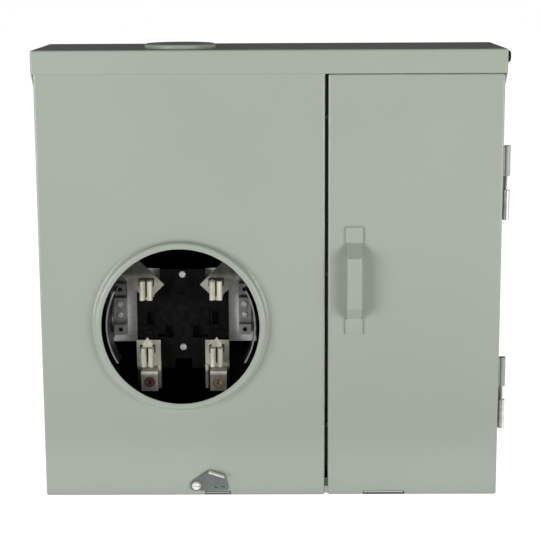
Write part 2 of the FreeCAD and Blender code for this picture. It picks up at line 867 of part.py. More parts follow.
def meter_cover():
    """Pan-shaped cover with a drawn collar whose lip turns in over the meter's rim."""
    body = new_body("cover_body", ("socket_x", "cover_front", "meter_z"))
    folded_pan(body, "cover", ("-cover_side - socket_x", "cover_right - socket_x"),
               ("cover_low - meter_z", "strip_low + cover_hook - meter_z"),
               "0", "cover_flange", True)
    wall = "collar_radius + collar_lip"
    root = "%s + collar_root" % wall
    pocket(body, "cover_opening", "XZ", [("0", "0", root)], "-1", "sheet + 1")
    inside = "-collar_height + sheet"
    collar = [
        (root, "0", "collar_root"),
        (wall, "-collar_root"),
        (wall, "-collar_height + lip_bend", "-lip_bend"),
        ("%s - lip_bend" % wall, "-collar_height"),
        ("collar_radius + 0.5", "-collar_height"),
        ("collar_radius", "-collar_height + 0.5"),
        ("collar_radius", "%s - 0.4" % inside),
        ("collar_radius + 0.4", inside),
        ("%s - lip_bend" % wall, inside, "lip_bend - sheet"),
        ("%s - sheet" % wall, "-collar_height + lip_bend"),
        ("%s - sheet" % wall, "-collar_root", "-(collar_root + sheet)"),
        (root, "sheet"),
    ]
    turned(body, "cover_collar", "XY", collar, "Y_Axis")
    pocket(body, "cover_latch_hole", "XZ",
           [("latch_x", "latch_pz - meter_z", "latch_screw_shank + screw_fit")], "-1", "sheet + 1")
    half, rise = "slot_width / 2", "(slot_high - slot_low) / 2"
    slot_z = "cover_low + slot_low - meter_z"
    slot = [
        ("slot_x - %s + %s" % (half, rise), slot_z),
        ("slot_x + %s - %s" % (half, rise), slot_z, rise),
        ("slot_x + %s" % half, "%s + %s" % (slot_z, rise), rise),
        ("slot_x + %s - %s" % (half, rise), "%s + 2 * %s" % (slot_z, rise)),
        ("slot_x - %s + %s" % (half, rise), "%s + 2 * %s" % (slot_z, rise), rise),
        ("slot_x - %s" % half, "%s + %s" % (slot_z, rise), rise),
    ]
    pocket(body, "cover_slot", "XZ", [slot], "-1", "bend")
    corner = [oblong(("sheet + screw_fit", "cover_flange + 1"),
                     ("cover_low - meter_z - 1", "box_bottom + tray_lip + 1 - meter_z"))]
    pocket(body, "cover_corner_relief", "YZ", corner,
           "cover_right - socket_x - sheet - 0.2", "cover_right - socket_x + 1")
    keep(body, "meter_cover")


def cover_latch():
    """Sealing lever on its screw. Its thumb tab is folded forward."""
    lever = new_body("lever_body", ("latch_px", "cover_front - screw_fit", "latch_pz"))
    outline = [
        ("-1.9", "-latch_boss + 0.3"),
        ("latch_reach - 1.2", "-5.2", "2.2"),
        ("latch_reach + 0.8", "-3"),
        ("latch_reach - 2.6", "11.9"),
        ("13.8", "17.2"),
        ("-4.2", "latch_boss - 1.5", "latch_boss"),
        ("-latch_boss", "0", "latch_boss"),
    ]
    pad(lever, "lever_plate", "XZ", [outline], "-sheet", "0")
    pocket(lever, "lever_hole", "XZ", [("0", "0", "latch_screw_shank + latch_fit")],
           "-sheet - 1", "1")
    seals = [("latch_reach - 12", "-1.2", "1.7"), ("latch_reach - 4.5", "-0.6", "1.7")]
    pocket(lever, "lever_seal_holes", "XZ", seals, "-sheet - 1", "1")
    slope = math.degrees(math.atan2(11.9 - 17.2, value("latch_reach") - 2.6 - 13.8))
    tab = doc.addObject("Part::Box", "lever_tab")
    tab.Placement = Placement(Vector(), Rotation(Vector(0, 1, 0), -slope))
    drive(tab, "Length", "latch_reach - 15.6")
    drive(tab, "Width", "latch_tab_rise + sheet")
    drive(tab, "Height", "sheet")
    place(tab, ("latch_px + 13.4", "cover_front - screw_fit - latch_tab_rise - sheet",
                "latch_pz + 15.8"))
    keep(joined("lever_whole", [lever, tab]), "cover_latch_lever")

    pin = screw("latch_screw",
                ("latch_px", "cover_front - sheet - 2 * screw_fit", "latch_pz"), -1,
                "latch_screw_head", "latch_screw_rise", "latch_screw_shank",
                "2 * sheet + 3 + 2 * screw_fit")
    keep(pin, "cover_latch_screw")


# Door

def door_panel():
    """Door pan. Its right flange is short, so that it turns out past the box side."""
    body = new_body("door_body")
    folded_pan(body, "door", ("door_left", "cover_side"), ("door_low", "door_high"),
               "cover_front", "door_left_flange", False)
    rear = "cover_front + door_left_flange + 1"
    behind = "cover_front + sheet + screw_fit"
    pocket(body, "door_left_relief", "YZ",
           [oblong((behind, rear), ("door_low - 1", "box_bottom + tray_lip + 1"))],
           "door_left - 1", "door_left + sheet + 0.2")
    pocket(body, "door_right_trim", "YZ", [oblong(("hinge_y", rear), ("door_low - 1", "door_high + 1"))],
           "cover_side - bend - sheet", "cover_side + 1")
    pocket(body, "door_corner_relief", "YZ",
           [oblong((behind, rear), ("door_high - door_relief", "door_high + 1"))],
           "cover_side - door_top_inset", "cover_side + 1")
    pocket(body, "door_top_trim", "YZ",
           [oblong(("cover_front + door_top_flange", rear), ("door_high - bend", "door_high + 1"))],
           "door_left + bend", "cover_side")
    pocket(body, "door_bottom_trim", "YZ",
           [oblong(("cover_front + cover_flange", rear), ("door_low - 1", "door_low + bend"))],
           "door_left + bend", "cover_side")
    half = "lock_slot / 2"
    pocket(body, "door_lock_slot", "XZ",
           [oblong(("lock_x - %s" % half, "lock_x + %s" % half),
                   ("cover_low + lock_slot_low", "cover_low + lock_slot_high"))],
           "cover_front - 1", "cover_front + bend")
    pocket(body, "door_lock_hole", "XY",
           [("lock_x", "cover_front + lock_hole_inset", "lock_hole + lip_gap")],
           "door_low - 1", "door_low + sheet + 0.2")
    keep(body, "door_panel")


def door_handle():
    """Strap handle: a channel with sloped arms that end in flat pads."""
    body = new_body("handle_body", ("handle_x", "cover_front", "cover_low + handle_height"))
    half, pad_half = "handle_length / 2", "handle_width / 2"
    grip = "handle_length / 2 - handle_pad - handle_slope"
    side = [
        ("0", "-(%s)" % half),
        ("0", "-(%s) + handle_pad + 1" % half),
        ("-handle_rise + handle_lip", "-(%s)" % grip),
        ("-handle_rise + handle_lip", grip),
        ("0", "(%s) - handle_pad - 1" % half),
        ("0", half),
        ("-handle_wall", half),
        ("-handle_wall", "(%s) - handle_pad" % half),
        ("-handle_rise", "(%s) + 1" % grip),
        ("-handle_rise", "-(%s) - 1" % grip),
        ("-handle_wall", "-(%s) + handle_pad" % half),
        ("-handle_wall", "-(%s)" % half),
    ]
    pad(body, "handle_strap", "YZ", [side], "-(%s)" % pad_half, pad_half)
    rise, width = value("handle_rise"), value(pad_half)
    picks = [{"y": -rise, "x": -width}, {"y": -rise, "x": width}]
    fillet(body, "handle_round_edges", picks, "handle_round")
    hollow = [
        ("1", "-(%s) + handle_pad + 2" % half),
        ("-handle_rise + handle_wall", "-(%s) - 0.5" % grip),
        ("-handle_rise + handle_wall", "(%s) + 0.5" % grip),
        ("1", "(%s) - handle_pad - 2" % half),
    ]
    pocket(body, "handle_hollow", "YZ", [hollow],
           "-(%s) + handle_wall" % pad_half, "(%s) - handle_wall" % pad_half)
    pads = [
        oblong(("-handle_pad_width / 2", "handle_pad_width / 2"),
               ("%d * (%s) - %s" % (s, half, a), "%d * (%s) + %s" % (s, half, b)))
        for s, a, b in ((1, "handle_pad", "0"), (-1, "0", "handle_pad"))
    ]
    pad(body, "handle_pads", "XZ", pads, "-handle_wall", "0")
    keep(body, "door_handle")


def hinges():
    """Lift-off hinges: a box knuckle below, the bare pin and the door's knuckle above it."""
    for label, number in (("lower", 0), ("upper", 1)):
        low = ("cover_low + hinge_height", "strip_low - hinge_drop")[number]
        door_low = "%s + knuckle_length + pin_show" % low
        at = ("hinge_x", "hinge_y")
        bore = "pin_radius + pin_fit"
        barrel = rod("box_barrel_" + label, "knuckle_radius", "z", at + (low,), "knuckle_length")
        web = block("box_web_" + label, ("box_side", "hinge_x"),
                    ("hinge_y + knuckle_radius - sheet", "hinge_y + knuckle_radius"),
                    (low, low + " + knuckle_length + pin_show - 1"))
        leaf = block("box_leaf_" + label, ("box_side", "box_side + sheet"),
                     ("hinge_y + knuckle_radius - sheet", "hinge_y + knuckle_radius + hinge_leaf"),
                     (low, low + " + knuckle_length + pin_show - 1"))
        hole = rod("box_bore_" + label, bore, "z", at + (low + " - 1",), "knuckle_length + 2")
        whole = joined("box_hinge_solid_" + label, [barrel, web, leaf])
        keep(less("box_hinge_cut_" + label, whole, [hole]), "box_hinge_" + label)

        pin = rod("pin_" + label, "pin_radius", "z", at + (low,),
                  "2 * knuckle_length + pin_show")
        keep(pin, "hinge_pin_" + label)

        barrel = rod("door_barrel_" + label, "knuckle_radius", "z", at + (door_low,),
                     "knuckle_length")
        leaf = block("door_leaf_" + label, ("cover_side", "cover_side + sheet"),
                     ("cover_front + bend", "hinge_y"), (door_low, door_low + " + knuckle_length"))
        hole = rod("door_bore_" + label, bore, "z", at + (door_low + " - 1",),
                   "knuckle_length + 2")
        whole = joined("door_hinge_solid_" + label, [barrel, leaf])
        keep(less("door_hinge_cut_" + label, whole, [hole]), "door_hinge_" + label)


# Meter socket

def bracket_feet():
    """Screw places of the bracket's feet on the back wall."""
    return [
        ("socket_x + %d * (bracket_half + bracket_foot / 2)" % sx, "socket_z + (%s)" % z)
        for sx in (-1, 1)
        for z in ("-bracket_low + 12", "bracket_high - 12")
    ]


def insulating_liner():
    """Black tray that lines the meter compartment."""
    body = new_body("liner_body")
    left, right = "-box_side + sheet + liner_gap", "divider_x - weld_gap"
    low, high = "floor_top + weld_gap", "box_top - liner_drop"
    pad(body, "liner_pad", "XZ", [oblong((left, right), (low, high))],
        "cover_front + liner_front", "liner_back")
    shell(body, "liner_shell", [{"y": value("cover_front + liner_front")}], "liner")
    windows = [(x, z, "liner_window") for x, z in wall_holes()[:2]]
    windows += [(x, z, "screw_shank + screw_fit") for x, z in bracket_feet()]
    pocket(body, "liner_holes", "XZ", windows, "liner_face - 1", "liner_back + 1")
    pocket(body, "liner_cable_hole", "YZ",
           [("-cable_hole_y", "floor_top + cable_hole_height", "cable_hole + grommet_lip + 1")],
           "divider_x - 2 * liner - 1", "divider_x")
    keep(body, "insulating_liner")


def socket_bracket():
    """Galvanised hat section that carries the socket base and the neutral bars."""
    body = new_body("bracket_body", ("socket_x", "0", "socket_z"))
    half, foot = "bracket_half", "bracket_half + bracket_foot"
    profile = [
        ("-(%s)" % half, "bracket_y"),
        (half, "bracket_y"),
        (half, "liner_face - sheet"),
        (foot, "liner_face - sheet"),
        (foot, "liner_face"),
        ("%s - sheet" % half, "liner_face"),
        ("%s - sheet" % half, "bracket_y + sheet"),
        ("-(%s) + sheet" % half, "bracket_y + sheet"),
        ("-(%s) + sheet" % half, "liner_face"),
        ("-(%s)" % foot, "liner_face"),
        ("-(%s)" % foot, "liner_face - sheet"),
        ("-(%s)" % half, "liner_face - sheet"),
    ]
    pad(body, "bracket_pad", "XY", [profile], "-bracket_low", "bracket_high")
    edge = value("bracket_half")
    front = value("bracket_y")
    fillet(body, "bracket_bends", [{"x": -edge, "y": front}, {"x": edge, "y": front}], "bend")
    holes = [("%s - socket_x" % x, "%s - socket_z" % z, "screw_shank + screw_fit")
             for x, z in bracket_feet()]
    pocket(body, "bracket_foot_holes", "XZ", holes, "liner_face - sheet - 1", "liner_face + 1")
    keep(body, "socket_bracket")

    screws = [
        screw("bracket_screw_%d" % number, (x, "liner_face - sheet", z), -1,
              "screw_head", "screw_rise", "screw_shank", "-(liner_face - sheet)")
        for number, (x, z) in enumerate(bracket_feet())
    ]
    keep(group("bracket_screw_group", screws), "bracket_screws")


def meter_supports():
    """Curved strips that steady the meter's rim. Each has a leg welded to the bracket."""
    inner, outer = "support_radius", "support_radius + sheet"
    strip_back = "neutral_y - support_gap"
    for label, sign in (("left", -1), ("right", 1)):
        body = new_body("support_body_" + label, ("socket_x", "0", "meter_z"))

        def ring_part(high, low, s=sign):
            def spot(radius, z):
                return "%d * sqrt((%s)^2 - (%s)^2)" % (s, radius, z)

            return [
                (spot(outer, high), high, "%d * (%s)" % (-s, outer)),
                (spot(outer, low), "-" + low),
                (spot(inner, low), "-" + low, "%d * (%s)" % (s, inner)),
                (spot(inner, high), high),
            ]

        pad(body, "support_strip_" + label, "XZ", [ring_part("support_high", "support_low")],
            "cover_front + support_front", strip_back)
        pad(body, "support_leg_" + label, "XZ", [ring_part("support_leg", "support_leg")],
            "%s - 1" % strip_back, "bracket_y")
        keep(body, "meter_support_" + label)


def socket_base():
    """Moulded block with pockets, raised pads under the connectors and two screw wells."""
    body = new_body("base_body", ("socket_x", "0", "socket_z"))
    right = [
        ("column_half", "column_top"),
        ("column_half", "wide_top"),
        ("wide_half", "wide_top"),
        ("wide_half", "-load_plate_low"),
        ("wide_half - 4", "-load_plate_low"),
        ("wide_half - 4", "-load_lug_low"),
        ("leg_outer", "-load_lug_low"),
        ("leg_outer", "-leg_low"),
        ("leg_inner", "-leg_low"),
        ("leg_inner", "-spine_low"),
    ]
    left = [("-(%s)" % x, z) for x, z in reversed(right)]
    pad(body, "base_block", "XZ", [right + left], "base_y", "bracket_y")
    pads = [
        oblong(("%d * jaw_x - 11" % s, "%d * jaw_x + 11" % s), ("line_jaw_z - 12", "wide_top"))
        for s in (-1, 1)
    ]
    pads += [
        oblong(("%s * jaw_x - load_plate / 2 + 0.6" % s, "%s * jaw_x + load_plate / 2 - 0.6" % s),
               ("-load_plate_low", "-load_plate_top"))
        for s in (-1, 1)
    ]
    pad(body, "base_pads", "XZ", pads, "plate_y + plate", "base_y")
    ledges = [
        oblong(("32.6", "wide_half"), ("-load_plate_top + 0.6", "-18.4")),
        oblong(("-wide_half", "-32.6"), ("-load_plate_top + 0.6", "-18.4")),
    ]
    pad(body, "base_ledges", "XZ", ledges, "base_y - 2", "base_y")
    lumps = [("%d * 28.8" % s, "-20.2", "2.8") for s in (-1, 1)]
    lumps += [("%d * 14.6" % s, "-10.4", "2.6") for s in (-1, 1)]
    pad(body, "base_lumps", "XZ", lumps, "base_y - 1.6", "base_y")
    frames = [
        oblong(("27.4", "43.6"), ("-13.6", "6.1")),
        oblong(("-43.6", "-27.4"), ("-13.6", "6.1")),
    ]
    pocket(body, "base_frames", "XZ", frames, "base_y - 1", "base_y + 1.6")
    wells = [
        oblong(("31", "39.2"), ("-12.2", "1.3")),
        oblong(("-39.2", "-31"), ("-12.2", "1.3")),
        oblong(("10.4", "20"), ("-27", "-13.6")),
        oblong(("-20", "-10.4"), ("-27", "-13.6")),
        oblong(("20", "27"), ("-26", "-22.6")),
        oblong(("-27", "-20"), ("-26", "-22.6")),
    ]
    pocket(body, "base_wells", "XZ", wells[:4], "base_y - 1", "base_y + well_depth")
    pocket(body, "base_slots", "XZ", wells[4:], "base_y - 1", "base_y + well_depth")
    grooves = [
        oblong(("-12", "-11.2"), ("wide_top", "column_top - 2")),
        oblong(("11.2", "12"), ("wide_top", "column_top - 2")),
        oblong(("-16", "16"), ("21.4", "22.2")),
    ]
    pocket(body, "base_grooves", "XZ", grooves, "base_y - 1", "base_y + 1")
    sinks = [("0", z, "5.4") for z in ("base_screw_high", "-base_screw_low")]
    pocket(body, "base_screw_wells", "XZ", sinks, "base_y - 1", "base_y + 1.2")
    holes = [("0", z, "screw_shank + screw_fit") for z in ("base_screw_high", "-base_screw_low")]
    pocket(body, "base_screw_holes", "XZ", holes, "base_y - 1", "bracket_y + 1")
    keep(body, "socket_base")

    screws = [
        screw("base_screw_" + label, ("socket_x", "base_y + 1.2", "socket_z + (%s)" % z), -1,
              "screw_head", "screw_rise", "screw_shank", "bracket_depth - base_depth - 1.2")
        for label, z in (("high", "base_screw_high"), ("low", "-base_screw_low"))
    ]
    keep(group("base_screw_group", screws), "socket_base_screws")


def set_screw(name, at, length):
    """A hex socket set screw along Y, its open end to the front."""
    x, y, z = at
    solid = rod(name + "_rod", "lug_screw - screw_fit", "y", (x, y, z), length)
    socket = doc.addObject("Part::Prism", name + "_socket")
    socket.Polygon = 6
    socket.Placement = Placement(Vector(), TURNS["y"])
    drive(socket, "Circumradius", "hex_socket")
    drive(socket, "Height", "hex_depth + 1")
    place(socket, (x, "(%s) - 1" % y, z))
    return less(name, solid, [socket])


def line_connectors():
    """Bars turned 45 degrees, each with its wire lug behind the end under the collar."""
    screws = []
    for label, sign, angle in (("left", -1, -135), ("right", 1, -45)):
        turn = Rotation(Vector(0, 1, 0), angle)
        at = ("socket_x + %d * jaw_x" % sign, "plate_y", "socket_z + line_jaw_z")
        body = new_body("line_body_" + label, at, turn)
        half = "line_bar / 2"
        end = "line_bar_length - line_bar_end"
        # The jaw sits off the bar's middle line, nearer to its lower edge.
        low = "%d * line_bar_shift - %s" % (sign, half)
        high = "%d * line_bar_shift + %s" % (sign, half)
        pad(body, "line_bar_pad_" + label, "XZ",
            [oblong(("-line_bar_end", end), (low, high))], "0", "plate")
        pad(body, "line_lug_pad_" + label, "XZ",
            [oblong(("line_lug_start", end), ("-line_lug / 2", "line_lug / 2"))],
            "plate", "plate + lug_depth")
        middle = "(line_lug_start + %s) / 2" % end
        pocket(body, "line_wire_" + label, "YZ", [("line_wire_depth", "0", "line_wire")],
               "line_lug_start + 4", "%s + 1" % end)
        pocket(body, "line_screw_hole_" + label, "XZ", [(middle, "0", "lug_screw")],
               "-1", "line_wire_depth")
        keep(body, "line_connector_" + label)
        across = "(%s) * sin(45 deg)" % middle
        screws.append(set_screw("line_screw_" + label,
                                ("%s + %d * %s" % (at[0], sign, across), "plate_y + lug_sink",
                                 "%s + %s" % (at[2], across)),
                                "plate + line_wire_wall - lug_sink"))
    return screws


def load_connectors():
    """Plates that step back below the jaws. Each has a forward flange and a wire lug."""
    screws = []
    back = "base_depth - plate_depth - screw_fit"
    wire_y = "%s - 1.9 - load_wire" % back
    half = "load_plate / 2"
    for label, sign in (("left", -1), ("right", 1)):
        at = ("socket_x + %d * jaw_x" % sign, "plate_y", "socket_z")
        body = new_body("load_body_" + label, at)
        side = [
            ("0", "-load_plate_top"),
            ("plate", "-load_plate_top"),
            ("plate", "-load_plate_low - 0.4"),
            (back, "-load_plate_low - 0.4"),
            (back, "-load_lug_low"),
            ("%s - plate" % back, "-load_lug_low"),
            ("%s - plate" % back, "-load_plate_low - 3.4"),
            ("0", "-load_plate_low - 3.4"),
        ]
        pad(body, "load_plate_pad_" + label, "YZ", [side], "-(%s)" % half, half)
        inner = ("-(%s)" % half, "-(%s) + plate" % half)
        if sign < 0:
            inner = ("(%s) - plate" % half, half)
        pad(body, "load_flange_" + label, "XZ",
            [oblong(inner, ("-load_lug_low - 1", "-load_plate_low - 2"))], "-2", back)
        lug_x = ("load_lug_shift - load_lug_width / 2", "load_lug_shift + load_lug_width / 2")
        pad(body, "load_lug_" + label, "XZ", [oblong(lug_x, ("-load_lug_low", "-load_lug_top"))],
            "-load_lug_front", back)
        middle = "-(load_lug_top + load_lug_low) / 2 - 1"
        pocket(body, "load_wire_" + label, "XY", [("load_lug_shift", wire_y, "load_wire")],
               "-load_lug_low - 1", "-load_lug_top - 3")
        pocket(body, "load_screw_hole_" + label, "XZ", [("load_lug_shift", middle, "lug_screw")],
               "-load_lug_front - 1", wire_y)
        keep(body, "load_connector_" + label)
        screws.append(set_screw("load_screw_" + label,
                                (at[0] + " + load_lug_shift", "plate_y - load_lug_front + lug_sink",
                                 "socket_z + (%s)" % middle),
                                "load_lug_front - lug_sink + (%s) - load_wire" % wire_y))
    return screws


def jaws():
    """Four jaws, each folded from one strip: two leaves that flare to a mouth at the front."""
    half = "jaw_width / 2"
    back = "plate_depth - jaw_front"
    gap = "jaw_slit"
    # One leaf: foot, straight blade, rounded lip, and the same line back on the other face.
    leaf = [
        (half, back),
        ("0", back),
        ("0", "(%s) - jaw_leaf" % back),
        (gap, "(%s) - jaw_leaf" % back),
        (gap, "jaw_throat", "jaw_flare"),
        ("%s - 2.6" % half, "0.2", "3.4"),
        (half, "3.2"),
        ("%s - 0.2" % half, "6.4"),
        ("%s - jaw_leaf" % half, "6.4"),
        ("%s - jaw_leaf - 0.1" % half, "3.6", "-1.7"),
        ("%s - 2.8" % half, "1.8", "jaw_leaf - jaw_flare"),
        ("%s + jaw_leaf" % gap, "jaw_throat + 0.6"),
        ("%s + jaw_leaf" % gap, "(%s) - jaw_leaf" % back),
        (half, "(%s) - jaw_leaf" % back),
    ]
    clips = []
    for kind, z in (("line", "line_jaw_z"), ("load", "-load_jaw_z")):
        for label, sign in (("left", -1), ("right", 1)):
            name = "%s_jaw_%s" % (kind, label)
            at = ("socket_x + %d * jaw_x" % sign, "jaw_y", "socket_z + (%s)" % z)
            body = new_body(name + "_body", at)
            first = pad(body, name + "_leaf", "XY", [leaf], "-jaw_length / 2", "jaw_length / 2")
            pair = body.newObject("PartDesign::Mirrored", name + "_pair")
            pair.Originals = [first]
            plane = [f for f in body.Origin.OriginFeatures if f.Role == "YZ_Plane"][0]
            pair.MirrorPlane = (plane, [""])
            body.Tip = pair
            sound(pair)
            if kind == "load":
                tip = [
                    ("-5.2", "jaw_length / 2 - 0.6"),
                    ("5.2", "jaw_length / 2 - 0.6"),
                    ("5.2", "jaw_length / 2 + 3.4"),
                    ("0", "jaw_length / 2 + tip_rise"),
                    ("-5.2", "jaw_length / 2 + 3.4"),
                ]
                pad(body, name + "_tip", "XZ", [tip], "8.8", "8.8 + jaw_leaf")
            keep(body, name)
            clips.append(jaw_clip(name, at))
    keep(group("clip_group", clips), "jaw_clips")


def jaw_clip(name, at):
    """Spring clip bent over the top end of a jaw."""
    x, y, z = at
    half = "jaw_width / 2 + 0.1"
    end = "jaw_length / 2 + 0.1"
    top = "jaw_length / 2 + 1.2"
    z_arm = ("%s + jaw_length / 2 - 6" % z, "%s + %s" % (z, top))
    z_bridge = ("%s + %s" % (z, end), "%s + %s" % (z, top))
    y_arm = ("%s + 6.4" % y, "%s + 15" % y)
    y_bridge = ("%s + 10.4" % y, "%s + 15" % y)
    arms = []
    for label, low, high in (
        ("left", "-(%s) - 1" % half, "-(%s)" % half),
        ("right", half, "%s + 1" % half),
    ):
        arms.append(block("%s_clip_%s" % (name, label),
                          ("%s + (%s)" % (x, low), "%s + (%s)" % (x, high)), y_arm, z_arm))
    arms.append(block(name + "_clip_bridge",
                      ("%s - (%s) - 1" % (x, half), "%s + %s + 1" % (x, half)), y_bridge, z_bridge))
    return joined(name + "_clip", arms)


def neutral_bars():
    """Lug bars on both sides of the socket, with their terminal and fixing screws."""
    steps = (("-22.3", "-11.2"), ("-5.6", "17.8"), ("21.4", "32.6"))
    strip = "3"
    height = "(bracket_depth - neutral_depth)"
    screws = []
    for label, sign in (("left", -1), ("right", 1)):
        at = ("socket_x + %d * neutral_x" % sign, "neutral_y", "socket_z")
        body = new_body("neutral_body_" + label, at)
        half = "neutral_width / 2"
        comb = [(height, steps[0][0])]
        for number, (low, high) in enumerate(steps):
            comb += [("0", low), ("0", high)]
            if number < len(steps) - 1:
                comb += [("%s - %s" % (height, strip), high),
                         ("%s - %s" % (height, strip), steps[number + 1][0])]
        comb += [(height, steps[-1][1])]
        pad(body, "neutral_comb_" + label, "YZ", [comb], "-(%s)" % half, half)
        lugs = [steps[0], steps[2]]
        middles = ["((%s) + (%s)) / 2" % pair for pair in lugs]
        pocket(body, "neutral_wires_" + label, "YZ",
               [("%s / 2 + 1" % height, z, "neutral_wire") for z in middles],
               "-(%s) - 1" % half, "%s + 1" % half)
        pocket(body, "neutral_holes_" + label, "XZ",
               [("0", z, "neutral_hole") for z in middles], "-1", "%s / 2" % height)
        fixings = ("-0.6", "11")
        pocket(body, "neutral_fixings_" + label, "XZ",
               [("0", z, "screw_shank + screw_fit") for z in fixings], "-1", "%s + 1" % height)
        keep(body, "neutral_bar_" + label)
        for number, z in enumerate(fixings):
            screws.append(screw("neutral_screw_%s_%d" % (label, number),
                                (at[0], "neutral_y", "socket_z + (%s)" % z), -1,
                                "screw_head * 0.85", "screw_rise * 0.8", "screw_shank",
                                "bracket_depth - neutral_depth"))
        for number, z in enumerate(middles):
            screws.append(rod("neutral_set_%s_%d" % (label, number),
                              "neutral_hole - screw_fit", "y",
                              (at[0], "neutral_y + neutral_sink", "socket_z + %s" % z), "2"))
    keep(group("neutral_screw_group", screws), "neutral_bar_screws")


# Breaker compartment

def dead_front():
    """Inner cover with a window for the main breaker and scored twist-outs."""
    rail = new_body("rail_body")
    right = "box_side - sheet - weld_gap"
    profile = [
        ("%s - rail_width" % right, "divider_y"),
        (right, "divider_y"),
        (right, "divider_y + rail_width"),
        ("%s - sheet" % right, "divider_y + rail_width"),
        ("%s - sheet" % right, "divider_y + sheet"),
        ("%s - rail_width" % right, "divider_y + sheet"),
    ]
    pad(rail, "rail_pad", "XY", [profile], "floor_top + tray_lip", "box_top - weld_gap")
    keep(rail, "dead_front_rail")

    body = new_body("dead_body")
    left = "door_left + dead_margin"
    edge = "box_side - sheet - dead_margin"
    low, high = "floor_top + dead_low", "box_top - dead_top"
    pad(body, "dead_pad", "XZ", [oblong((left, edge), (low, high))], "dead_y", "divider_y")
    half, tall = "boss_width / 2 + window_gap", "boss_height / 2 + window_gap"
    pocket(body, "dead_window", "XZ",
           [oblong(("panel_x - (%s)" % half, "panel_x + %s" % half),
                   ("main_z - (%s)" % tall, "main_z + %s" % tall))], "dead_y - 1", "divider_y + 1")
    for side, sign in (("left", -1), ("right", 1)):
        frames = []
        for number in range(4):
            middle = "branch_z + branch_pitch * %s" % (number + 0.5)
            for inset in ("0", "knockout_line"):
                x = ["panel_x + %d * score_inner" % sign, "panel_x + %d * score_outer" % sign]
                bounds = (x[1], x[0]) if sign < 0 else (x[0], x[1])
                frames.append(oblong(("%s + %s" % (bounds[0], inset), "%s - %s" % (bounds[1], inset)),
                                     ("%s - branch_pitch / 2 + score_gap + %s" % (middle, inset),
                                      "%s + branch_pitch / 2 - score_gap - %s" % (middle, inset))))
        pocket(body, "dead_scores_" + side, "XZ", frames, "dead_y - 1", "dead_y + knockout_groove")
    spots = dead_screw_spots()
    holes = [(x, z, "screw_shank + screw_fit") for x, z in spots]
    pocket(body, "dead_holes", "XZ", holes, "dead_y - 1", "divider_y + 1")
    keep(body, "dead_front")
    screws = [
        screw("dead_screw_%d" % number, (x, "dead_y", z), -1,
              "screw_head", "screw_rise", "screw_shank", "sheet")
        for number, (x, z) in enumerate(spots)
    ]
    keep(group("dead_screw_group", screws), "dead_front_screws")


def dead_screw_spots():
    return [
        (x, z)
        for x in ("door_left + dead_margin + 5", "box_side - sheet - dead_margin - 6")
        for z in ("floor_top + dead_low + 12", "box_top - dead_top - 12")
    ]


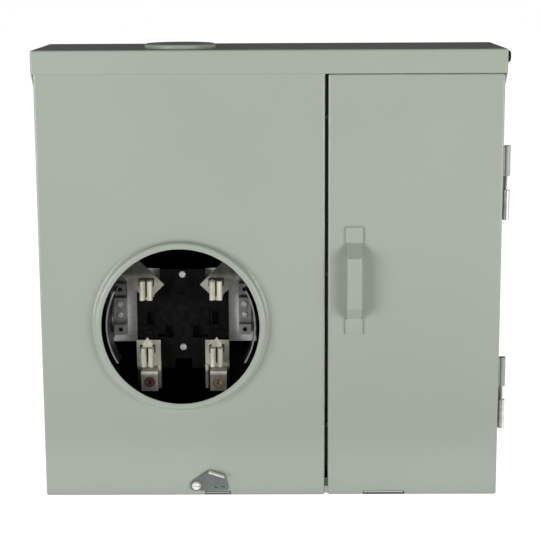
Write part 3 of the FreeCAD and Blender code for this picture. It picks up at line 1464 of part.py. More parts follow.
def breaker_interior():
    """Pan, main breaker with its lugs, and the branch base with its two buses."""
    pan = new_body("pan_body", ("panel_x", "0", "cover_low"))
    profile = [
        ("-pan_half", "pan_y"),
        ("pan_half", "pan_y"),
        ("pan_half", "-sheet - sheet"),
        ("pan_half - 12", "-sheet - sheet"),
        ("pan_half - 12", "-sheet"),
        ("pan_half + sheet", "-sheet"),
        ("pan_half + sheet", "pan_y - sheet"),
        ("-pan_half - sheet", "pan_y - sheet"),
        ("-pan_half - sheet", "-sheet"),
        ("-pan_half + 12", "-sheet"),
        ("-pan_half + 12", "-sheet - sheet"),
        ("-pan_half", "-sheet - sheet"),
    ]
    pad(pan, "pan_pad", "XY", [profile], "pan_low", "strip_low - pan_drop - cover_low")
    keep(pan, "interior_pan")

    face = "pan_y - sheet"
    case = new_body("main_body", ("panel_x", "0", "main_z"))
    half, tall = "main_width / 2", "main_height / 2"
    pad(case, "main_block", "XZ", [oblong(("-(%s)" % half, half), ("-(%s)" % tall, tall))],
        "divider_y + main_clear", face)
    front = value("divider_y + main_clear")
    edges = [{"y": front, "x": s * value(half)} for s in (-1, 1)]
    edges += [{"y": front, "z": s * value(tall)} for s in (-1, 1)]
    fillet(case, "main_round", edges, "bend")
    pad(case, "main_boss", "XZ",
        [oblong(("-boss_width / 2", "boss_width / 2"), ("-boss_height / 2", "boss_height / 2"))],
        "dead_y - boss_rise", "divider_y + main_clear")
    cavity = ("toggle_y", "0", "toggle_radius + toggle_fit")
    pocket(case, "main_toggle_cavity", "YZ", [cavity],
           "-toggle_width / 2 - toggle_fit", "toggle_width / 2 + toggle_fit")
    keep(case, "main_breaker_case")

    toggle = new_body("toggle_body", ("panel_x", "toggle_y", "main_z"),
                      Rotation(Vector(1, 0, 0), value("toggle_tilt")))
    drum = ("0", "0", "toggle_radius")
    pad(toggle, "toggle_drum", "YZ", [drum], "-toggle_width / 2", "toggle_width / 2")
    lever = [
        ("0", "-toggle_thick / 2"),
        ("-toggle_length + 2", "-toggle_thick / 2 + 1"),
        ("-toggle_length", "-toggle_thick / 2 + 2.4"),
        ("-toggle_length", "toggle_thick / 2 - 2.4"),
        ("-toggle_length + 2", "toggle_thick / 2 - 1"),
        ("0", "toggle_thick / 2"),
    ]
    lever.reverse()
    pad(toggle, "toggle_lever", "YZ", [lever], "-toggle_width / 2 + 1", "toggle_width / 2 - 1")
    keep(toggle, "main_breaker_handle")

    lugs = []
    top = "main_z + main_height / 2"
    back = "%s - main_lug_gap" % face
    for label, sign in (("left", -1), ("right", 1)):
        x = "panel_x + %d * bus_x" % sign
        lug = block("main_lug_block_" + label,
                    ("%s - main_lug_width / 2" % x, "%s + main_lug_width / 2" % x),
                    ("%s - main_lug_depth" % back, back), (top, "%s + main_lug_height" % top))
        wire = rod("main_lug_wire_" + label, "main_wire", "z",
                   (x, "%s - main_lug_depth / 2" % back, "%s + main_lug_floor" % top), "main_lug_height")
        hole = rod("main_lug_hole_" + label, "lug_screw - 1", "y",
                   (x, "%s - main_lug_depth - 1" % back, "%s + main_lug_screw" % top),
                   "main_lug_bore + 1")
        lugs.append(less("main_lug_" + label, lug, [wire, hole]))
    keep(group("main_lug_group", lugs), "main_breaker_lugs")

    base = new_body("branch_body", ("panel_x", "0", "branch_z"))
    across = ("-branch_half", "branch_half")
    root = "%s - branch_depth" % face
    tall = ("-branch_margin", "branch_height + branch_margin")
    pad(base, "branch_block", "XZ", [oblong(across, tall)], root, face)
    ribs = [oblong(across, ("branch_pitch * %d - branch_rib_width / 2" % number,
                            "branch_pitch * %d + branch_rib_width / 2" % number))
            for number in range(5)]
    pad(base, "branch_ribs", "XZ", ribs, "%s - branch_rib" % root, root)
    keep(base, "branch_base")
    for label, sign in (("left", -1), ("right", 1)):
        bus = new_body("bus_body_" + label, ("panel_x + %d * bus_x" % sign, "0", "branch_z"))
        strip = oblong(("-bus_width / 2", "bus_width / 2"), ("2", "main_bottom - branch_z"))
        high = "%s - branch_rib" % root
        pad(bus, "bus_strip_" + label, "XZ", [strip], "%s - bus_thick" % high, high)
        stab = oblong(("-bus_width / 2 + 1", "bus_width / 2 - 1"),
                      ("branch_pitch / 2 - 1", "branch_pitch / 2 + 1"))
        first = pad(bus, "bus_stab_" + label, "XZ", [stab],
                    "%s - bus_thick - stab_rise" % high, "%s - bus_thick" % high)
        row = bus.newObject("PartDesign::LinearPattern", "bus_stabs_" + label)
        row.Originals = [first]
        line = [f for f in bus.Origin.OriginFeatures if f.Role == "Z_Axis"][0]
        row.Direction = (line, [""])
        drive(row, "Length", "3 * branch_pitch")
        row.Occurrences = 4
        bus.Tip = row
        doc.recompute()
        keep(bus, "branch_bus_" + label)


def terminal_bars():
    """Neutral bar on insulating blocks and ground bar on the pan, with their screws."""
    face = "pan_y - sheet"
    half = "bar_section / 2"
    screws = []
    spots = (
        ("panel_neutral_bar", "panel_x - bar_x", "%s - bar_standoff" % face),
        ("ground_bar", "panel_x + bar_x", face),
    )
    for name, x, back in spots:
        bar = block(name + "_bar", ("%s - %s" % (x, half), "%s + %s" % (x, half)),
                    ("%s - bar_section" % back, back),
                    ("branch_z", "branch_z + bar_length"))
        wires = []
        for number in range(8):
            z = "branch_z + bar_screw_pitch * %d + bar_screw_start" % number
            wires.append(rod("%s_wire_%d" % (name, number), "neutral_wire", "x",
                             ("%s - %s - 1" % (x, half), "%s - bar_section / 2" % back, z),
                             "bar_section + 2"))
            wires.append(rod("%s_hole_%d" % (name, number), "neutral_hole", "y",
                             (x, "%s - bar_section - 1" % back, z), "bar_section / 2"))
            screws.append(rod("%s_set_%d" % (name, number), "neutral_hole - screw_fit", "y",
                              (x, "%s - bar_section + bar_screw_sink" % back, z),
                              "bar_screw_length"))
        keep(less(name + "_cut", bar, wires), name)
    keep(group("bar_screw_group", screws), "terminal_bar_screws")
    blocks = [
        block("neutral_block_%d" % number,
              ("panel_x - bar_x - bar_block / 2", "panel_x - bar_x + bar_block / 2"),
              ("%s - bar_standoff" % face, face), (low, "%s + bar_block_height" % low))
        for number, low in enumerate((
            "branch_z + bar_block_inset",
            "branch_z + bar_length - bar_block_inset - bar_block_height",
        ))
    ]
    keep(group("neutral_block_group", blocks), "neutral_bar_supports")


enclosure_shell()
bottom_end_wall()
top_end_cap()
hub_parts()
side_hole_plug()
compartment_divider()
divider_rivets()
meter_cover()
cover_latch()
door_panel()
door_handle()
hinges()
insulating_liner()
socket_bracket()
meter_supports()
socket_base()
keep(group("lug_screw_group", line_connectors() + load_connectors()), "lug_screws")
jaws()
neutral_bars()
dead_front()
breaker_interior()
terminal_bars()

doc.recompute()

# Every object has to be sound before anything is written.
broken = [o.Name for o in doc.Objects if {"Invalid", "Error"} & set(o.State)]
for part in sub_parts:
    if part.Shape.isNull() or not part.Shape.isValid() or part.Shape.Volume <= 0:
        broken.append(part.Label)
if broken:
    raise RuntimeError("these objects failed: " + ", ".join(broken))

os.makedirs("parts", exist_ok=True)
for part in sub_parts:
    part.Shape.exportStep(os.path.join("parts", part.Label + ".step"))
print("%d sub-parts written" % len(sub_parts))
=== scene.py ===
"""Looks of an outdoor electric meter box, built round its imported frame."""

import math

import bpy
from mathutils import Matrix, Vector


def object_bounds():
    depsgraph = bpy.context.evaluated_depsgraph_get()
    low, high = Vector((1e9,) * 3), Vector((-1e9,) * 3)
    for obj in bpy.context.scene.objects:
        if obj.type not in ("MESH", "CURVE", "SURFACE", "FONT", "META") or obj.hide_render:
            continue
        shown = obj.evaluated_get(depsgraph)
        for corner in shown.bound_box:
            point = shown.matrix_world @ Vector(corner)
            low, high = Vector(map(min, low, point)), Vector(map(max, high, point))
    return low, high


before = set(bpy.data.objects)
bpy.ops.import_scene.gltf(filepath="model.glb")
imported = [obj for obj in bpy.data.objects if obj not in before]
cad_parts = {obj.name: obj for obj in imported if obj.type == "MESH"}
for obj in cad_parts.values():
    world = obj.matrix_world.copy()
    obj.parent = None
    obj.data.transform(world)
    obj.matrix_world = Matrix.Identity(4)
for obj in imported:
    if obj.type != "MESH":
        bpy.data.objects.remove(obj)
first_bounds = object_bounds()

# Which nodes take which finish
FINISHES = {
    "paint": [
        "enclosure_shell", "meter_cover", "door_handle", "door_hinge_lower", "door_hinge_upper",
        "dead_front", "dead_front_rail",
    ],
    "door_paint": ["door_panel"],
    "tray_paint": ["bottom_end_wall"],
    "divider_shade_paint": ["compartment_divider"],
    "cap_paint": ["top_end_cap", "hub_closing_plate"],
    "zinc": [
        "hub_clamp_bar", "hub_clamp_nuts", "box_hinge_lower", "box_hinge_upper",
        "hinge_pin_lower", "hinge_pin_upper", "bracket_screws", "dead_front_screws",
        "terminal_bar_screws",
    ],
    "bright_zinc": ["cover_latch_screw", "socket_base_screws"],
    "sunk_zinc_painted_shade": ["neutral_bar_screws"],
    "lever_zinc_painted_light": ["cover_latch_lever"],
    "rivet_zinc": ["divider_rivets"],
    "lug_screw": ["lug_screws"],
    "galvanised": ["socket_bracket", "interior_pan"],
    "support_steel_painted_light": ["meter_support_left", "meter_support_right"],
    "tin": [
        "line_jaw_left", "line_jaw_right", "load_jaw_left", "load_jaw_right",
        "branch_bus_left", "branch_bus_right",
    ],
    "plate_tin": [
        "line_connector_left", "line_connector_right", "load_connector_left",
        "load_connector_right",
    ],
    "lug": [
        "neutral_bar_left", "neutral_bar_right", "main_breaker_lugs", "panel_neutral_bar",
        "ground_bar",
    ],
    "phenolic": [
        "socket_base", "main_breaker_case", "main_breaker_handle", "branch_base",
        "neutral_bar_supports",
    ],
    # The liner's black stands in for the shade inside the box; the plug is black plastic
    "black_sheet": ["insulating_liner", "side_hole_plug"],
    "spring_steel": ["jaw_clips"],
    "grommet_rubber": ["cable_grommet"],
}

# Middle of the socket. Lengths and places are in metres, in the frame's axes
SOCKET_X = -0.0934
SOCKET_Z = -0.0450

# The line plates are painted dark above the first height, as painted shade, and the load plates'
# wire lugs are duller below the second one. Each change takes its own span of height
PAINTED_SHADE_LOW = -0.0115
PAINTED_SHADE_SPAN = 0.013
LUG_TOP = -0.1035
LUG_SPAN = 0.004

# Half the span in which the lug screws change their metal at the middle of the socket
METAL_CHANGE = 0.001

# Depths of the front edges of the lever's tab and of the supports, and of the fronts of the sunk
# screws: the metal in front of each is painted lit and behind it painted in shade, with half the
# span in which each tone ends
TAB_FRONT = -0.1370
SUPPORT_FRONT = -0.1353
SINK_FRONT = -0.1010
EDGE_CHANGE = 0.0001
SINK_CHANGE = 0.0004

# Painted shade and a painted highlight, each in boxes of x, y and z: painted shade round the tab in
# the door's bottom slot and on the tray behind the gap between cover and door, and a painted
# highlight on the front edge of the tray's tab
# Dark tone of painted shade, which also stands for dirt in the gaps
DIRT_AND_PAINTED_SHADE = (0.03, 0.031, 0.027)
# Painted highlight for the front edge of the tray's tab
PAINTED_EDGE_HIGHLIGHT = (0.85, 0.86, 0.82)
SLOT_SIDES = (0.0983, 0.1419)
SLOT_PAINTED_SHADE = [(DIRT_AND_PAINTED_SHADE, (SLOT_SIDES, (-0.1339, -0.1290), (-0.2354, -0.2338)))]
TRAY_PAINTED_LIGHT = [
    (DIRT_AND_PAINTED_SHADE, (SLOT_SIDES, (-0.1345, -0.1200), (-0.2345, -0.2320))),
    # painted highlight on the tab's front edge
    (PAINTED_EDGE_HIGHLIGHT, (SLOT_SIDES, (-0.1345, -0.1328), (-0.2336, -0.2327))),
    (DIRT_AND_PAINTED_SHADE, ((0.0565, 0.0612), (-0.1345, -0.1000), (-0.2268, -0.2100))),
]

# How near another surface is where painted shade and some dirt darken the colour, and the openness
# from full painted shade to none
CREVICE_REACH = 0.0035
CREVICE_OPENNESS = (0.12, 0.62)

# Rays that find the openness and the rounded edges
OPENNESS_RAYS = 8
EDGE_RAYS = 4

# Values of noise between which one tone, or one roughness, gives way to the other
BROAD_NOISE = (0.3, 0.7)
PLATING_NOISE = (0.36, 0.68)
SCREW_NOISE = (0.35, 0.7)
DUST_NOISE = (0.55, 0.85)
SPECK_NOISE = (0.74, 0.80)
SPANGLE_NOISE = (0.4, 1.0)

# Specks of the enamel: their share, and their tone as a part of the paint's
SPECK_SHARE = 0.2
SPECK_TONE = 0.85

# Cells in galvanised sheet for each metre, and their weight against the marks of rolling
CELL_SCALE = 260.0
CELL_WEIGHT = 0.35

# Second tone of two-tone plating, as a part of the first
PLATING_TONE = 0.8

# Light of the world: what matt surfaces get from below, from above and from behind, and what
# mirrors get from anywhere but the backdrop
FILL_LOW = 0.58
FILL_HIGH = 0.035
FILL_BEHIND = 1.0
DIM_ROOM = 0.04

# Where each light gives way to the next, as the height or the depth of a direction
FILL_HEIGHTS = (-0.1, 0.5)
BEHIND_DEPTHS = (0.1, 0.5)
BEHIND_HEIGHTS = (0.45, 0.15)
MIRROR_DEPTHS = (-0.1, 0.3)
MIRROR_HEIGHTS = (0.10, 0.0)

# Floor: how far under the box, to its sides, from its front edge to its back edge, and its tone
FLOOR_DROP = 0.0006
FLOOR_SIDE = 5
FLOOR_FRONT = -0.3
FLOOR_BACK = 12
FLOOR_TONE = (0.85, 0.85, 0.85)
FLOOR_GLOW = 0.94
WHITE = (1, 1, 1)

# Two rectangles of light in front of the box: place and watts
SOFTBOX_SIZE = (1.3, 1.1)
SOFTBOXES = {
    "left_box": ((-1.65, -1.6, 0.2), 28.5),
    "right_box": ((1.6, -1.6, 0.2), 22.5),
}

# Camera, from a fit to the photo
LENS = 104.24
SENSOR_WIDTH = 36
NEAREST = 0.05
CAMERA_PLACE = (0.0117, -1.7305, 0.31855)
YAW = math.radians(0.398)
PITCH = math.radians(-10.987)
ROLL = math.radians(0.281)


def rgb(red, green, blue):
    """Linear colour of an sRGB colour given in 0 to 255."""
    parts = []
    for part in (red, green, blue):
        part /= 255
        parts.append(part / 12.92 if part <= 0.04045 else ((part + 0.055) / 1.055) ** 2.4)
    return tuple(parts)


def darker(colour, share):
    """A colour with this share of its light."""
    return tuple(part * share for part in colour)


class Graph:
    """Short ways to make and join shader nodes."""

    def __init__(self, tree):
        self.nodes = tree.nodes
        self.links = tree.links
        self.nodes.clear()

    def feed(self, socket, value):
        """Join a socket to another one, or give it a colour, a number or a vector."""
        if isinstance(value, bpy.types.NodeSocket):
            self.links.new(value, socket)
        elif socket.type == "RGBA":
            socket.default_value = (*value, 1)
        else:
            socket.default_value = value

    def node(self, kind, **inputs):
        """A node with its inputs fed by name."""
        made = self.nodes.new(kind)
        for name, value in inputs.items():
            self.feed(made.inputs[name.replace("_", " ")], value)
        return made

    def span(self, value, low, high, to_low=0.0, to_high=1.0):
        """A number that goes smoothly from to_low to to_high as the value goes from low to high."""
        made = self.node("ShaderNodeMapRange", Value=value, From_Min=low, From_Max=high,
                         To_Min=to_low, To_Max=to_high)
        made.interpolation_type = "SMOOTHSTEP"
        return made.outputs["Result"]

    def combine(self, kind, first, second):
        """A number made of two numbers."""
        made = self.nodes.new("ShaderNodeMath")
        made.operation = kind
        self.feed(made.inputs[0], first)
        self.feed(made.inputs[1], second)
        return made.outputs["Value"]

    def blend(self, share, first, second):
        """A number between two numbers."""
        made = self.nodes.new("ShaderNodeMix")
        self.feed(made.inputs[0], share)
        self.feed(made.inputs[2], first)
        self.feed(made.inputs[3], second)
        return made.outputs[0]

    def mix(self, share, first, second):
        """A colour between two colours."""
        made = self.nodes.new("ShaderNodeMix")
        made.data_type = "RGBA"
        self.feed(made.inputs[0], share)
        self.feed(made.inputs[6], first)
        self.feed(made.inputs[7], second)
        return made.outputs[2]

    def rays(self):
        """The kinds of ray, and one for rays that the camera sees, also through clear things."""
        kinds = self.node("ShaderNodeLightPath").outputs
        return kinds, self.combine("MAXIMUM", kinds["Is Camera Ray"], kinds["Is Transmission Ray"])


class Finish(Graph):
    """A material whose colour, roughness and bump all come from nodes."""

    def __init__(self, name):
        self.material = bpy.data.materials.new(name)
        self.material.use_nodes = True
        super().__init__(self.material.node_tree)
        self.shader = self.node("ShaderNodeBsdfPrincipled")
        self.node("ShaderNodeOutputMaterial", Surface=self.shader.outputs["BSDF"])
        self.place = self.node("ShaderNodeTexCoord").outputs["Object"]

    def axis(self, name):
        """Place along one axis of the frame."""
        return self.node("ShaderNodeSeparateXYZ", Vector=self.place).outputs[name]

    def noise(self, scale, detail=2.0, rough=0.5, stretch=None, distortion=0.0):
        """Noise with features about 1 / scale metres across."""
        place = self.place
        if stretch:
            mapping = self.node("ShaderNodeMapping", Vector=self.place, Scale=stretch)
            place = mapping.outputs["Vector"]
        made = self.node("ShaderNodeTexNoise", Vector=place, Scale=scale, Detail=detail,
                         Roughness=rough, Distortion=distortion)
        return made.outputs["Fac"]

    def plating(self, scale, stretch=None, distortion=0.0):
        """Share of the second tone in plating."""
        clouds = self.noise(scale, 4, 0.6, stretch, distortion)
        return self.span(clouds, *PLATING_NOISE)

    def sheen(self, noise, low, high):
        """Roughness that wanders between two values."""
        return self.span(noise, *BROAD_NOISE, low, high)

    def bump(self, height, depth, radius, strength=0.5):
        """Fine relief over edges that look rounded."""
        edges = self.node("ShaderNodeBevel", Radius=radius)
        edges.samples = EDGE_RAYS
        made = self.node("ShaderNodeBump", Strength=strength, Distance=depth, Height=height,
                         Normal=edges.outputs["Normal"])
        return made.outputs["Normal"]

    def painted_crevice_shade(self, colour):
        """Painted shade, with some dirt, that darkens the colour in narrow gaps."""
        made = self.node("ShaderNodeAmbientOcclusion", Distance=CREVICE_REACH)
        made.samples = OPENNESS_RAYS
        openness = self.span(made.outputs["AO"], *CREVICE_OPENNESS)
        return self.mix(openness, DIRT_AND_PAINTED_SHADE, colour)

    def patch(self, colour, tone, box):
        """One tone inside a box of x, y and z."""
        share = 1.0
        for axis, (low, high) in zip("XYZ", box):
            place = self.axis(axis)
            above = self.span(place, low - EDGE_CHANGE, low + EDGE_CHANGE)
            share = self.combine("MULTIPLY", share, above)
            below = self.span(place, high + EDGE_CHANGE, high - EDGE_CHANGE)
            share = self.combine("MULTIPLY", share, below)
        return self.mix(share, colour, tone)

    def finish(self, colour, roughness, normal, metallic=0.0, specular=0.5):
        """The finished material."""
        self.feed(self.shader.inputs["Base Color"], colour)
        self.feed(self.shader.inputs["Roughness"], roughness)
        self.feed(self.shader.inputs["Normal"], normal)
        self.feed(self.shader.inputs["Metallic"], metallic)
        self.feed(self.shader.inputs["Specular IOR Level"], specular)
        return self.material


def enamel(name, base, pale, rough, specular, painted_light_patches=()):
    """Sprayed grey enamel: slight clouds, fine orange peel, a few specks, and painted shade with
    some dirt in the gaps.
    """
    made = Finish(name)
    clouds = made.span(made.noise(scale=5), *BROAD_NOISE)
    colour = made.mix(clouds, base, pale)
    grit = made.noise(scale=420, detail=3, rough=0.7)
    specks = made.span(grit, *SPECK_NOISE, 0.0, SPECK_SHARE)
    colour = made.mix(specks, colour, darker(base, SPECK_TONE))
    # Painted shade: the colour turns dark in narrow gaps, with some dirt
    colour = made.painted_crevice_shade(colour)
    # Painted shade and a painted highlight, each inside its own box
    for tone, box in painted_light_patches:
        colour = made.patch(colour, tone, box)
    wear = made.noise(scale=90, detail=3)
    roughness = made.sheen(wear, low=rough - 0.02, high=rough + 0.03)
    peel = made.noise(scale=700)
    normal = made.bump(peel, depth=0.00004, radius=0.0007)
    return made.finish(colour, roughness, normal, specular=specular)


def plated(name, base, dark, rough, metallic=1.0, streak=None, grain=600, depth=0.00003):
    """Plated metal with clouds in the plating and marks of handling."""
    made = Finish(name)
    clouds = made.plating(scale=120, stretch=streak, distortion=0.3)
    colour = made.mix(clouds, base, dark)
    handling = made.noise(scale=grain / 2, detail=4, rough=0.6, stretch=streak)
    roughness = made.sheen(handling, low=rough - 0.06, high=rough + 0.12)
    marks = made.noise(scale=grain, detail=3, rough=0.6, stretch=streak)
    normal = made.bump(marks, depth=depth, radius=0.0003)
    return made.finish(colour, roughness, normal, metallic)


def spangled(name):
    """Galvanised sheet: cells of zinc that differ a little in brightness, drawn out by rolling."""
    made = Finish(name)
    cells = made.node("ShaderNodeTexVoronoi", Vector=made.place, Scale=CELL_SCALE)
    shade = made.node("ShaderNodeSeparateColor", Color=cells.outputs["Color"])
    rolled = made.noise(scale=500, detail=3, rough=0.6, stretch=(0.06, 1, 1))
    weighed = made.combine("MULTIPLY", shade.outputs["Red"], CELL_WEIGHT)
    mixed = made.combine("ADD", weighed, rolled)
    bright = (0.95, 0.95, 0.92)
    dull = (0.82, 0.82, 0.79)
    colour = made.mix(made.span(mixed, *SPANGLE_NOISE), bright, dull)
    roughness = made.span(mixed, *SPANGLE_NOISE, to_low=0.34, to_high=0.5)
    marks = made.noise(scale=500, detail=3)
    normal = made.bump(marks, depth=0.00003, radius=0.0003)
    return made.finish(colour, roughness, normal, metallic=0.1)


def moulded(name, base, pale, rough, grain=900, depth=0.00002, specular=0.5):
    """Black moulded or sheet plastic with a little dust and a faint grain."""
    made = Finish(name)
    dust = made.span(made.noise(scale=90, detail=6, rough=0.7), *DUST_NOISE)
    colour = made.mix(dust, base, pale)
    wear = made.noise(scale=180, detail=4)
    roughness = made.sheen(wear, low=rough - 0.05, high=rough + 0.07)
    marks = made.noise(scale=grain, detail=3, rough=0.6)
    normal = made.bump(marks, depth=depth, radius=0.0004, strength=0.6)
    return made.finish(colour, roughness, normal, specular=specular)


def lit_and_shaded_metal(name, edge, change, lit_front, shaded_rest, rough, metallic):
    """Plated metal in two tones by depth: painted light in front of the edge's depth, painted shade
    behind it.
    """
    made = Finish(name)
    share = made.plating(scale=150)
    tones = [made.mix(share, tone, darker(tone, PLATING_TONE)) for tone in (lit_front, shaded_rest)]
    behind = made.span(made.axis("Y"), edge - change, edge + change)
    colour = made.mix(behind, *tones)
    handling = made.noise(scale=300, detail=4, rough=0.6)
    roughness = made.sheen(handling, low=rough - 0.05, high=rough + 0.1)
    marks = made.noise(scale=600, detail=3, rough=0.6)
    normal = made.bump(marks, depth=0.00003, radius=0.0003)
    return made.finish(colour, roughness, normal, metallic)


def connector_plate(name):
    """Tin plated bar: bright round the jaws, duller on the lugs below them, with painted shade at
    the top.
    """
    made = Finish(name)
    share = made.plating(scale=110, stretch=(1, 1, 0.4), distortion=0.3)
    bright = made.mix(share, (0.66, 0.65, 0.56), (0.52, 0.51, 0.43))
    dull = made.mix(share, (0.22, 0.21, 0.175), (0.14, 0.135, 0.11))
    # The third tone is painted shade for the tops of the line plates
    shade = made.mix(share, (0.11, 0.108, 0.09), (0.06, 0.058, 0.05))
    lug = made.span(made.axis("Z"), LUG_TOP, LUG_TOP - LUG_SPAN)
    # Share of painted shade, growing with height
    shaded_above = made.span(made.axis("Z"), PAINTED_SHADE_LOW, PAINTED_SHADE_LOW + PAINTED_SHADE_SPAN)
    colour = made.mix(shaded_above, made.mix(lug, bright, dull), shade)
    handling = made.noise(scale=350, detail=4)
    roughness = made.sheen(handling, low=0.32, high=0.5)
    marks = made.noise(scale=700, detail=3, rough=0.6)
    normal = made.bump(marks, depth=0.00004, radius=0.0004)
    return made.finish(colour, roughness, normal, metallic=0.25)


def tinted_screws(name):
    """Set screws: copper red in the left load lug, brass in the right one, zinc in the others."""
    made = Finish(name)
    share = made.span(made.noise(scale=400, detail=4), *SCREW_NOISE)
    zinc = made.mix(share, (0.62, 0.61, 0.57), (0.40, 0.40, 0.38))
    copper = made.mix(share, (0.21, 0.11, 0.08), (0.12, 0.06, 0.045))
    brass = made.mix(share, (0.52, 0.42, 0.28), (0.34, 0.26, 0.17))
    right = made.span(made.axis("X"), SOCKET_X - METAL_CHANGE, SOCKET_X + METAL_CHANGE)
    low = made.span(made.axis("Z"), SOCKET_Z + METAL_CHANGE, SOCKET_Z - METAL_CHANGE)
    colour = made.mix(low, zinc, made.mix(right, copper, brass))
    handling = made.noise(scale=350, detail=4)
    roughness = made.sheen(handling, low=0.28, high=0.42)
    marks = made.noise(scale=700, detail=3)
    normal = made.bump(marks, depth=0.00003, radius=0.0004)
    return made.finish(colour, roughness, normal, metallic=0.8)


# Paint of the box. Door and tray have it too, with patches of painted shade, and on the tray a
# painted highlight, of their own
BOX_PAINT = {
    "base": rgb(170, 177, 165),
    "pale": rgb(173, 180, 169),
    "rough": 0.23,
    "specular": 0.55,
}

MATERIALS = {
    "paint": enamel("paint", **BOX_PAINT),
    "door_paint": enamel("door_paint", **BOX_PAINT, painted_light_patches=SLOT_PAINTED_SHADE),
    "tray_paint": enamel("tray_paint", **BOX_PAINT, painted_light_patches=TRAY_PAINTED_LIGHT),
    # Painted shade: the divider, seen through the gap between cover and door, has the box's paint
    # made darker
    "divider_shade_paint": enamel("divider_shade_paint", base=rgb(118, 121, 114), pale=rgb(124, 127, 120), rough=0.5,
                     specular=0.3),
    "cap_paint": enamel("cap_paint", base=rgb(169, 177, 164), pale=rgb(172, 180, 168),
                        rough=0.36, specular=0.4),
    "zinc": plated("zinc", base=(0.80, 0.80, 0.78), dark=(0.62, 0.63, 0.62), rough=0.34,
                   metallic=0.85),
    "bright_zinc": plated("bright_zinc", base=(0.92, 0.92, 0.89), dark=(0.74, 0.74, 0.72),
                          rough=0.30, metallic=0.5),
    # Painted shade: the sunk screws are painted near black behind their fronts
    "sunk_zinc_painted_shade": lit_and_shaded_metal("sunk_zinc_painted_shade", SINK_FRONT, SINK_CHANGE, lit_front=(0.80, 0.80, 0.77),
                          shaded_rest=(0.03, 0.03, 0.028), rough=0.32, metallic=0.5),
    # Painted highlight on the front edge of the lever's tab, and painted shade on the rest of the
    # lever
    "lever_zinc_painted_light": lit_and_shaded_metal("lever_zinc_painted_light", TAB_FRONT, EDGE_CHANGE, lit_front=(0.90, 0.91, 0.88),
                           shaded_rest=(0.16, 0.18, 0.175), rough=0.34, metallic=0.55),
    "rivet_zinc": plated("rivet_zinc", base=(0.62, 0.63, 0.61), dark=(0.50, 0.51, 0.50),
                         rough=0.4, metallic=0.3),
    "galvanised": spangled("galvanised"),
    # Painted shade on the supports behind their front edges, which keep a lit tone
    "support_steel_painted_light": lit_and_shaded_metal("support_steel_painted_light", SUPPORT_FRONT, EDGE_CHANGE,
                              lit_front=(0.62, 0.63, 0.60), shaded_rest=(0.07, 0.072, 0.07), rough=0.4,
                              metallic=0.8),
    "tin": plated("tin", base=(0.66, 0.64, 0.53), dark=(0.40, 0.385, 0.32), rough=0.34,
                  metallic=0.2, streak=(1, 1, 0.15), grain=900),
    "plate_tin": connector_plate("plate_tin"),
    "lug": plated("lug", base=(0.42, 0.42, 0.39), dark=(0.30, 0.30, 0.28), rough=0.42,
                  metallic=0.7, streak=(1, 1, 0.3), grain=700, depth=0.00005),
    "lug_screw": tinted_screws("lug_screw"),
    "phenolic": moulded("phenolic", base=(0.002, 0.002, 0.0019), pale=(0.005, 0.005, 0.0047),
                        rough=0.38, specular=0.25),
    # Black plastic for the hole plug; on the liner the black is painted shade for the inside of the
    # box
    "black_sheet": moulded("black_sheet", base=(0.002, 0.002, 0.002), pale=(0.003, 0.003, 0.003),
                           rough=0.5, grain=1200, specular=0.3),
    "spring_steel": plated("spring_steel", base=(0.10, 0.10, 0.11), dark=(0.05, 0.05, 0.055),
                           rough=0.34),
    "grommet_rubber": moulded("grommet_rubber", base=(0.012, 0.012, 0.012),
                              pale=(0.02, 0.02, 0.02), rough=0.7, depth=0.00004),
}

for finish_name, nodes in FINISHES.items():
    for node in nodes:
        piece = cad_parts[node]
        piece.data.materials.clear()
        piece.data.materials.append(MATERIALS[finish_name])
unfinished = set(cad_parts) - {node for nodes in FINISHES.values() for node in nodes}
assert not unfinished, unfinished


def studio():
    """White to the camera and to mirrors that face the backdrop, soft from below and behind."""
    world = bpy.data.worlds.new("studio")
    bpy.context.scene.world = world
    world.use_nodes = True
    made = Graph(world.node_tree)
    rays, seen = made.rays()
    place = made.node("ShaderNodeTexCoord").outputs["Generated"]
    direction = made.node("ShaderNodeSeparateXYZ", Vector=place).outputs
    depth = direction["Y"]
    height = direction["Z"]
    backdrop = made.combine("MULTIPLY", made.span(depth, *MIRROR_DEPTHS),
                            made.span(height, *MIRROR_HEIGHTS))
    mirrored = made.blend(backdrop, DIM_ROOM, 1.0)
    fill = made.span(height, *FILL_HEIGHTS, FILL_LOW, FILL_HIGH)
    behind = made.combine("MULTIPLY", made.span(depth, *BEHIND_DEPTHS),
                          made.span(height, *BEHIND_HEIGHTS))
    fill = made.combine("ADD", fill, made.combine("MULTIPLY", behind, FILL_BEHIND))
    strength = made.blend(seen, made.blend(rays["Is Glossy Ray"], fill, mirrored), 1.0)
    background = made.node("ShaderNodeBackground", Color=WHITE, Strength=strength)
    made.node("ShaderNodeOutputWorld", Surface=background.outputs["Background"])


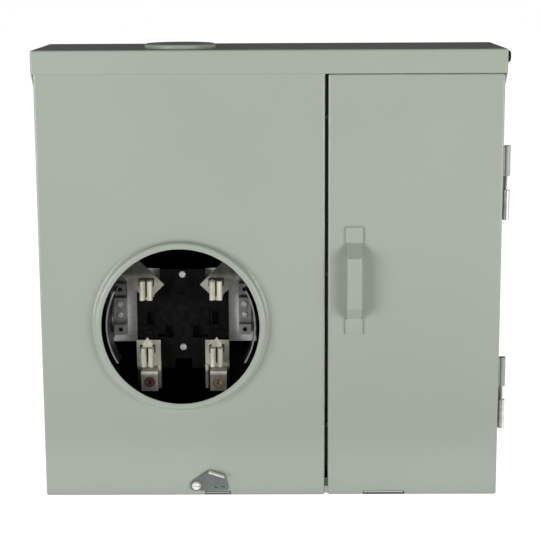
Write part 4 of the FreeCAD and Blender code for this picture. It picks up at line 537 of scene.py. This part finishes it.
def pale_floor():
    """Plain pale floor under and behind the box. It glows up to white, and less in a shadow."""
    low = first_bounds[0][2] - FLOOR_DROP
    corners = [(-FLOOR_SIDE, FLOOR_FRONT, low), (FLOOR_SIDE, FLOOR_FRONT, low),
               (FLOOR_SIDE, FLOOR_BACK, low), (-FLOOR_SIDE, FLOOR_BACK, low)]
    mesh = bpy.data.meshes.new("pale_floor")
    mesh.from_pydata(corners, [], [(0, 1, 2, 3)])
    floor = bpy.data.objects.new("pale_floor", mesh)
    bpy.context.scene.collection.objects.link(floor)
    material = bpy.data.materials.new("pale_floor")
    material.use_nodes = True
    made = Graph(material.node_tree)
    rays, seen = made.rays()
    seen = made.combine("MAXIMUM", seen, rays["Is Glossy Ray"])
    matt = made.node("ShaderNodeBsdfDiffuse", Color=FLOOR_TONE)
    glow = made.node("ShaderNodeEmission", Color=WHITE,
                     Strength=made.combine("MULTIPLY", seen, FLOOR_GLOW))
    both = made.nodes.new("ShaderNodeAddShader")
    made.feed(both.inputs[0], matt.outputs[0])
    made.feed(both.inputs[1], glow.outputs[0])
    made.node("ShaderNodeOutputMaterial", Surface=both.outputs[0])
    mesh.materials.append(material)


def softbox(name, at, watts):
    """A plain rectangle of light that faces the box."""
    lamp = bpy.data.lights.new(name, "AREA")
    lamp.shape = "RECTANGLE"
    lamp.size, lamp.size_y = SOFTBOX_SIZE
    lamp.energy = watts
    holder = bpy.data.objects.new(name, lamp)
    bpy.context.scene.collection.objects.link(holder)
    holder.location = at
    holder.rotation_euler = (-Vector(at)).to_track_quat("-Z", "Y").to_euler()


def camera():
    """The camera of the photo."""
    lens = bpy.data.cameras.new("camera")
    lens.lens = LENS
    lens.sensor_width = SENSOR_WIDTH
    lens.clip_start = NEAREST
    holder = bpy.data.objects.new("camera", lens)
    bpy.context.scene.collection.objects.link(holder)
    turn = Matrix.Rotation(YAW, 3, "Z") @ Matrix.Rotation(PITCH, 3, "X")
    turn = turn @ Matrix.Rotation(ROLL, 3, "Y")
    right = turn @ Vector((1, 0, 0))
    ahead = turn @ Vector((0, 1, 0))
    up = turn @ Vector((0, 0, 1))
    axes = Matrix((right, up, -ahead)).transposed().to_4x4()
    holder.matrix_world = Matrix.Translation(CAMERA_PLACE) @ axes
    bpy.context.scene.camera = holder


studio()
pale_floor()
for box_name, (box_place, box_watts) in SOFTBOXES.items():
    softbox(box_name, box_place, box_watts)
camera()
bpy.context.scene.view_settings.view_transform = "Standard"
